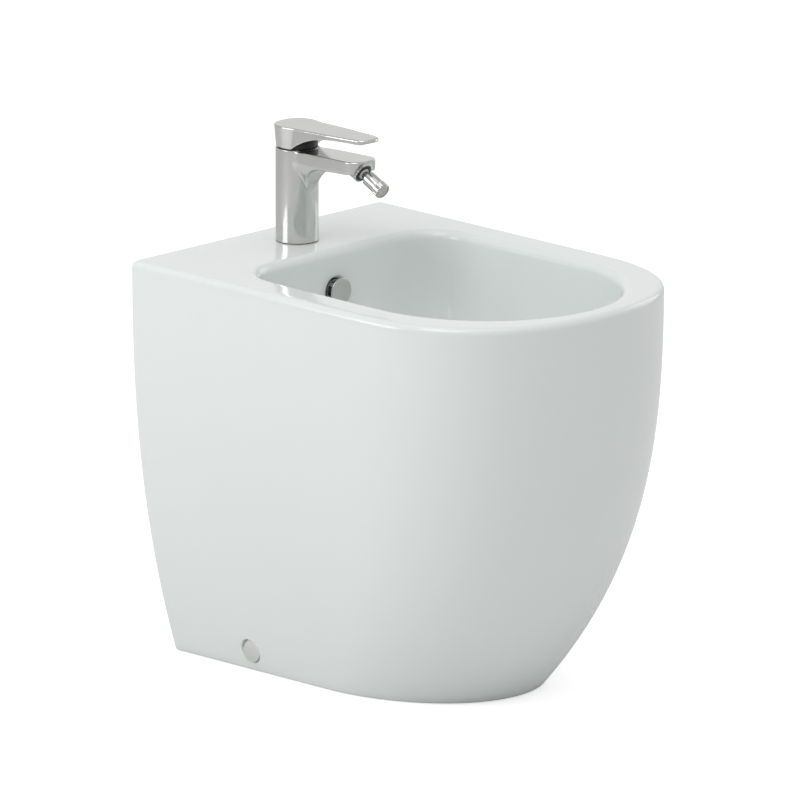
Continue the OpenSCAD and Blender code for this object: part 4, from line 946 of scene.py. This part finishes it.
def wound_wire():
    """A coil spring: a round wire that follows a helix, its ends closed."""
    _, given, node, close = rule("wound_wire", ("Turns", FLOAT, 6.0), ("Radius", FLOAT, 0.005),
                                 ("Height", FLOAT, 0.02), ("Wire", FLOAT, 0.0005))
    path = node("GeometryNodeCurveSpiral", Resolution=28, Rotations=given["Turns"],
                Start_Radius=given["Radius"], End_Radius=given["Radius"], Height=given["Height"])
    wire = node("GeometryNodeCurvePrimitiveCircle", Resolution=10, Radius=given["Wire"])
    tube = node("GeometryNodeCurveToMesh", Curve=path.outputs[0], Profile_Curve=wire.outputs[0],
                Fill_Caps=True)
    soft = node("GeometryNodeSetShadeSmooth", Geometry=tube.outputs[0])
    return close(node("GeometryNodeRealizeInstances", Geometry=soft.outputs[0]).outputs[0])


def even_shading():
    """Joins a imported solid's faces and keeps only its true corners sharp."""
    _, given, node, close = rule("even_shading", ("Corner", FLOAT, math.radians(32)))
    merged = node("GeometryNodeMergeByDistance", Geometry=given["Geometry"], Distance=1e-6)
    soft = node("GeometryNodeSetShadeSmooth", {"domain": "FACE"}, Geometry=merged.outputs[0],
                Shade_Smooth=True)
    bend = node("GeometryNodeInputMeshEdgeAngle").outputs[0]
    sharp = node("FunctionNodeCompare", {"operation": "GREATER_THAN"}, _0=bend, _1=given["Corner"])
    hard = node("GeometryNodeSetShadeSmooth", {"domain": "EDGE"}, Geometry=soft.outputs[0],
                Selection=sharp.outputs[0], Shade_Smooth=False)
    return close(hard.outputs[0])


def grown(name, mesh, group, material, **values):
    """The plain mesh that a rule makes of a mesh."""
    blank = bpy.data.objects.new("blank", mesh)
    scene.collection.objects.link(blank)
    step = blank.modifiers.new("rule", "NODES")
    step.node_group = group
    ids = sockets(group)
    for key, value in values.items():
        step[ids[key]] = value
    step[ids["Material"]] = material
    out = evaluated(blank)
    out.name = name
    bpy.data.objects.remove(blank)
    return out


def placed(mesh, place):
    """Moves a mesh made about the origin to its place, given in mm."""
    m = place.copy()
    m.translation *= MM
    mesh.transform(m)
    return mesh


# ---- turned and moulded pieces

FLOOR_Z = 270.0
BARREL_R, THREAD_Z, NOZZLE_L, BALL_R, NOZZLE_BORE = 7.7, 27.5, 36.0, 8.0, 3
NUT_R, NECK_R, PIPE_R, NUT_H = 27.0, 22.0, 16.0, 17.0


def arc(r, start, end, steps):
    """Points of an arc about the origin of a lathe outline, angles in degrees."""
    return [(r * math.cos(math.radians(start + (end - start) * k / steps)),
             r * math.sin(math.radians(start + (end - start) * k / steps)), 0) for k in range(steps + 1)]


def overflow_cover():
    """A shallow domed disc on four legs over a short sleeve."""
    disc = turned("overflow_disc", [(0, 5), (13.2, 5, 0.5), (14, 5.6, 0.5), (14, 6.9, 0.9),
                                    (12.9, 7.35, 1.5), (7, 7.95, 8), (0, 8.05)], OVERFLOW, 96, 0.4)
    sleeve = turned("overflow_sleeve", [(9.1, -15), (10.7, -15), (10.7, -3), (9.1, -3)], OVERFLOW, 72, 0.25)
    legs = []
    for turn in (45, 135, 225, 315):
        leg = prism("leg", [(8.2, -2), (10.4, -2), (10.4, 2), (8.2, 2)], -4.0, 5.4, "z")
        legs.append(placed(leg, OVERFLOW @ Matrix.Rotation(math.radians(turn), 4, "Z")))
    return joined("overflow_casting", [disc, sleeve] + legs)


def fixing_caps():
    """The low domed caps that close the two side holes."""
    outline = [(0, -3), (7.2, -3), (7.2, -3.6), (11.5, -3.6, 0.4), (12.2, -3.0, 0.4), (12.2, -1.6, 0.5),
               (11.4, -0.9, 0.9), (7.3, -0.2, 5), (3.7, 0.1, 5), (0, 0.2)]
    caps = []
    for sign in (-1, 1):
        place = Matrix.Translation((sign * half_width(FIX_Z), FIX_Y, FIX_Z))
        caps.append(turned("cap", outline, place @ Matrix.Rotation(sign * math.pi / 2, 4, "Y"), 72))
    return joined("fixing_cap_pair", caps)


def plug_cap():
    """The waste's domed cap with its rolled edge."""
    low = FLOOR_Z + 0.3
    middle, squash = low + 2.4, 0.74
    roll = [(28 + x, middle + z * squash, 0) for x, z, _ in arc(3, 0, 90, 8)]
    outline = [(0, low + 1.6), (2.55, low + 1.6), (2.55, low), (30.2, low, 0.5), (31, low + 0.8, 0.5)]
    outline += roll + [(18.6, low + 5.6, 14), (9.3, low + 6.3, 9), (0, low + 6.6)]
    return turned("plug_disc", outline, Matrix.Translation((0, WASTE_Y, 0)), 128)


def nozzle_barrel():
    """The ball, its neck and the barrel of the swivelling nozzle, bored through."""
    neck, thread_r, thread_end, wide_bore = BALL_R * 0.56, BARREL_R - 0.9, THREAD_Z + 4.5, 5.1
    start = -math.sqrt(BALL_R ** 2 - NOZZLE_BORE ** 2)
    low, high = math.degrees(math.asin(start / BALL_R)), math.degrees(math.acos(neck / BALL_R))
    outline = [(NOZZLE_BORE, start, 0)] + arc(BALL_R, low, high, 20)
    outline += [(neck, 9, 1.5), (BARREL_R - 1.2, 10.8, 0.5), (BARREL_R, 12, 0.9), (BARREL_R, THREAD_Z, 0.1),
                (thread_r, THREAD_Z, 0.1), (thread_r, thread_end, 0.2), (wide_bore, thread_end, 0.2),
                (wide_bore, 14, 0.3), (NOZZLE_BORE, 14, 0.2)]
    return turned("nozzle_barrel", outline, NOZZLE)


def socket_ring():
    """The black ring holding the ball in the spout's mouth, with a lip round the ball: partly painted shade.
    """
    back, front, clearance = -1.7, 5.1, 0.05
    wall = BALL_R + clearance
    inside = [(math.sqrt(wall ** 2 - z ** 2), z, 0) for z in np.linspace(front, back, 16)]
    # The ring's black and its lip round the ball also stand in for the shade in the mouth above the ball:
    # painted shade
    outline = [(9.35, back, 0.1), (9.35, 4.3, 0.5), (8.5, front, 0.9), (7.2, 5.6, 0.5)]
    return turned("socket_ring", outline + inside, NOZZLE, 96, 0.2)


def nozzle_ring():
    """The end ring, turned fine enough for its flutes."""
    low, high, inner, outer, bore = THREAD_Z, NOZZLE_L, BARREL_R - 0.85, BARREL_R + 0.7, BARREL_R - 1.6
    outline = [(inner, low + 0.05), (BARREL_R + 0.4, low + 0.05, 0.2), (outer, low + 0.5, 0.3)]
    outline += [(outer, z) for z in np.linspace(low + 1.4, high - 2.2, 10)]
    outline += [(outer, high - 1.2, 0.5), (BARREL_R - 0.1, high, 0.4), (bore, high, 0.2),
                (bore, high - 2.2), (inner, high - 2.2)]
    blank = turned("nozzle_ring_blank", outline, None, 216, 0.2)
    ring = grown("nozzle_ring", blank, fluted_ring(), BRIGHT, Count=18, Depth=0.5 * MM,
                 Outer=(BARREL_R + 0.6) * MM, Low=(low + 1.2) * MM, High=(high - 1.9) * MM)
    return placed(ring, NOZZLE)


def ribbed(name, outline, place, count, radius, depth, width, length, height):
    """A turned chrome piece with a ring of grip ribs."""
    blank = turned(name, outline, None, 96, 0.5)
    return placed(grown(name, blank, RIBS, CHROME, Count=count, Radius=radius * MM, Depth=depth * MM,
                        Width=width * MM, Length=length * MM, Height=height * MM), place)


def union_nut(name, place):
    """A union nut on the trap, with its grip ribs."""
    wall, hole, recess = NUT_R - 0.8, PIPE_R + 0.3, NECK_R + 0.05
    outline = [(recess, 0), (wall, 0, 0.8), (wall, NUT_H, 1.4), (hole, NUT_H, 0.4), (hole, NUT_H - 3),
               (recess, NUT_H - 3)]
    return ribbed(name, outline, place, 12, NUT_R - 0.9, 1.8, 3.2, NUT_H - 3.4, NUT_H / 2)


def trap_cup(name):
    """The cup that unscrews from under the bottle trap, with its grip ribs."""
    outline = [(0, 0), (24, 0, 1.5), (31, 3, 3), (35, 8, 4), (35, 26, 0.8), (32.05, 26, 0.2), (32.05, 14),
               (29, 14), (29, 3, 1.5), (0, 3)]
    return ribbed(name, outline, Matrix.Translation((0, WASTE_Y, 54)), 18, 35.1, 2.2, 3, 15, 16.5)


def click_spring(name):
    """The spring under the click waste's stem, a wire along a helix."""
    coil = grown(name, bpy.data.meshes.new("path"), wound_wire(), STEEL, Turns=5.0, Radius=4.4 * MM,
                 Height=12.1 * MM, Wire=0.75 * MM)
    return placed(coil, Matrix.Translation((0, WASTE_Y, 239)))


# ---- build

place_camera()
studio()
RIBS = ring_of_ribs()
SHADE = even_shading()

body_mesh, body_loft = ceramic_body()
true_normals(body_mesh, body_loft)
piece("body_casting", body_mesh, "bidet", "ceramic_body")

casting("tap_casting", tap_field, (-24, -108, -0.5), (24, 24, 102), 0.8, "bidet", "tap_body")
casting("lever_casting", lever_field, (-25, -113, 98), (25, 26, 125), 0.7, "lever", "lever")
piece("overflow_casting", overflow_cover(), "bidet", "overflow_cover", BRIGHT, 38)
piece("fixing_cap_pair", fixing_caps(), "bidet", "fixing_caps", CAP_CHROME, 38)
piece("plug_disc", plug_cap(), "plug", "plug_cap", BRIGHT, 38)
piece("nozzle_turning", nozzle_barrel(), "nozzle", "nozzle_ball", BRIGHT, 38)
# The socket ring's black is partly painted shade for the spout's mouth above the ball
piece("socket_ring", socket_ring(), "bidet", "nozzle_nut", BLACK_MOULDING_AND_SHADE, 38)
piece("nozzle_ring", nozzle_ring(), "nozzle", "aerator_housing", BRIGHT, 30)
inlet = Matrix.Translation((0, WASTE_Y, 143.8))
outlet = Matrix.Translation((0, 40.8, 118)) @ Matrix.Rotation(-math.pi / 2, 4, "X")
for name, place, node in (("trap_inlet_union", inlet, "trap_inlet_nut"),
                          ("trap_outlet_union", outlet, "trap_outlet_nut")):
    piece(name, union_nut(name, place), "bidet", node, CHROME, 34)
piece("trap_cup_turning", trap_cup("trap_cup_turning"), "bidet", "trap_cup", CHROME, 34)
piece("click_spring_coil", click_spring("click_spring_coil"), "bidet", "click_spring", STEEL, 60)

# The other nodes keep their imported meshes, with a finish and even shading
replaced = {n for o in scene.objects for n in o.get("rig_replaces", [])}
node_slot = {part["node"]: part["material_slot"] for part in frame["record"]["subparts"]}
shade_ids = sockets(SHADE)
for name, node in frame["nodes"].items():
    if name in replaced:
        continue
    paint = SLOT_FINISH[node_slot[name]]
    node.data.materials.clear()
    node.data.materials.append(paint)
    step = node.modifiers.new("even_shading", "NODES")
    step.node_group = SHADE
    step[shade_ids["Material"]] = paint
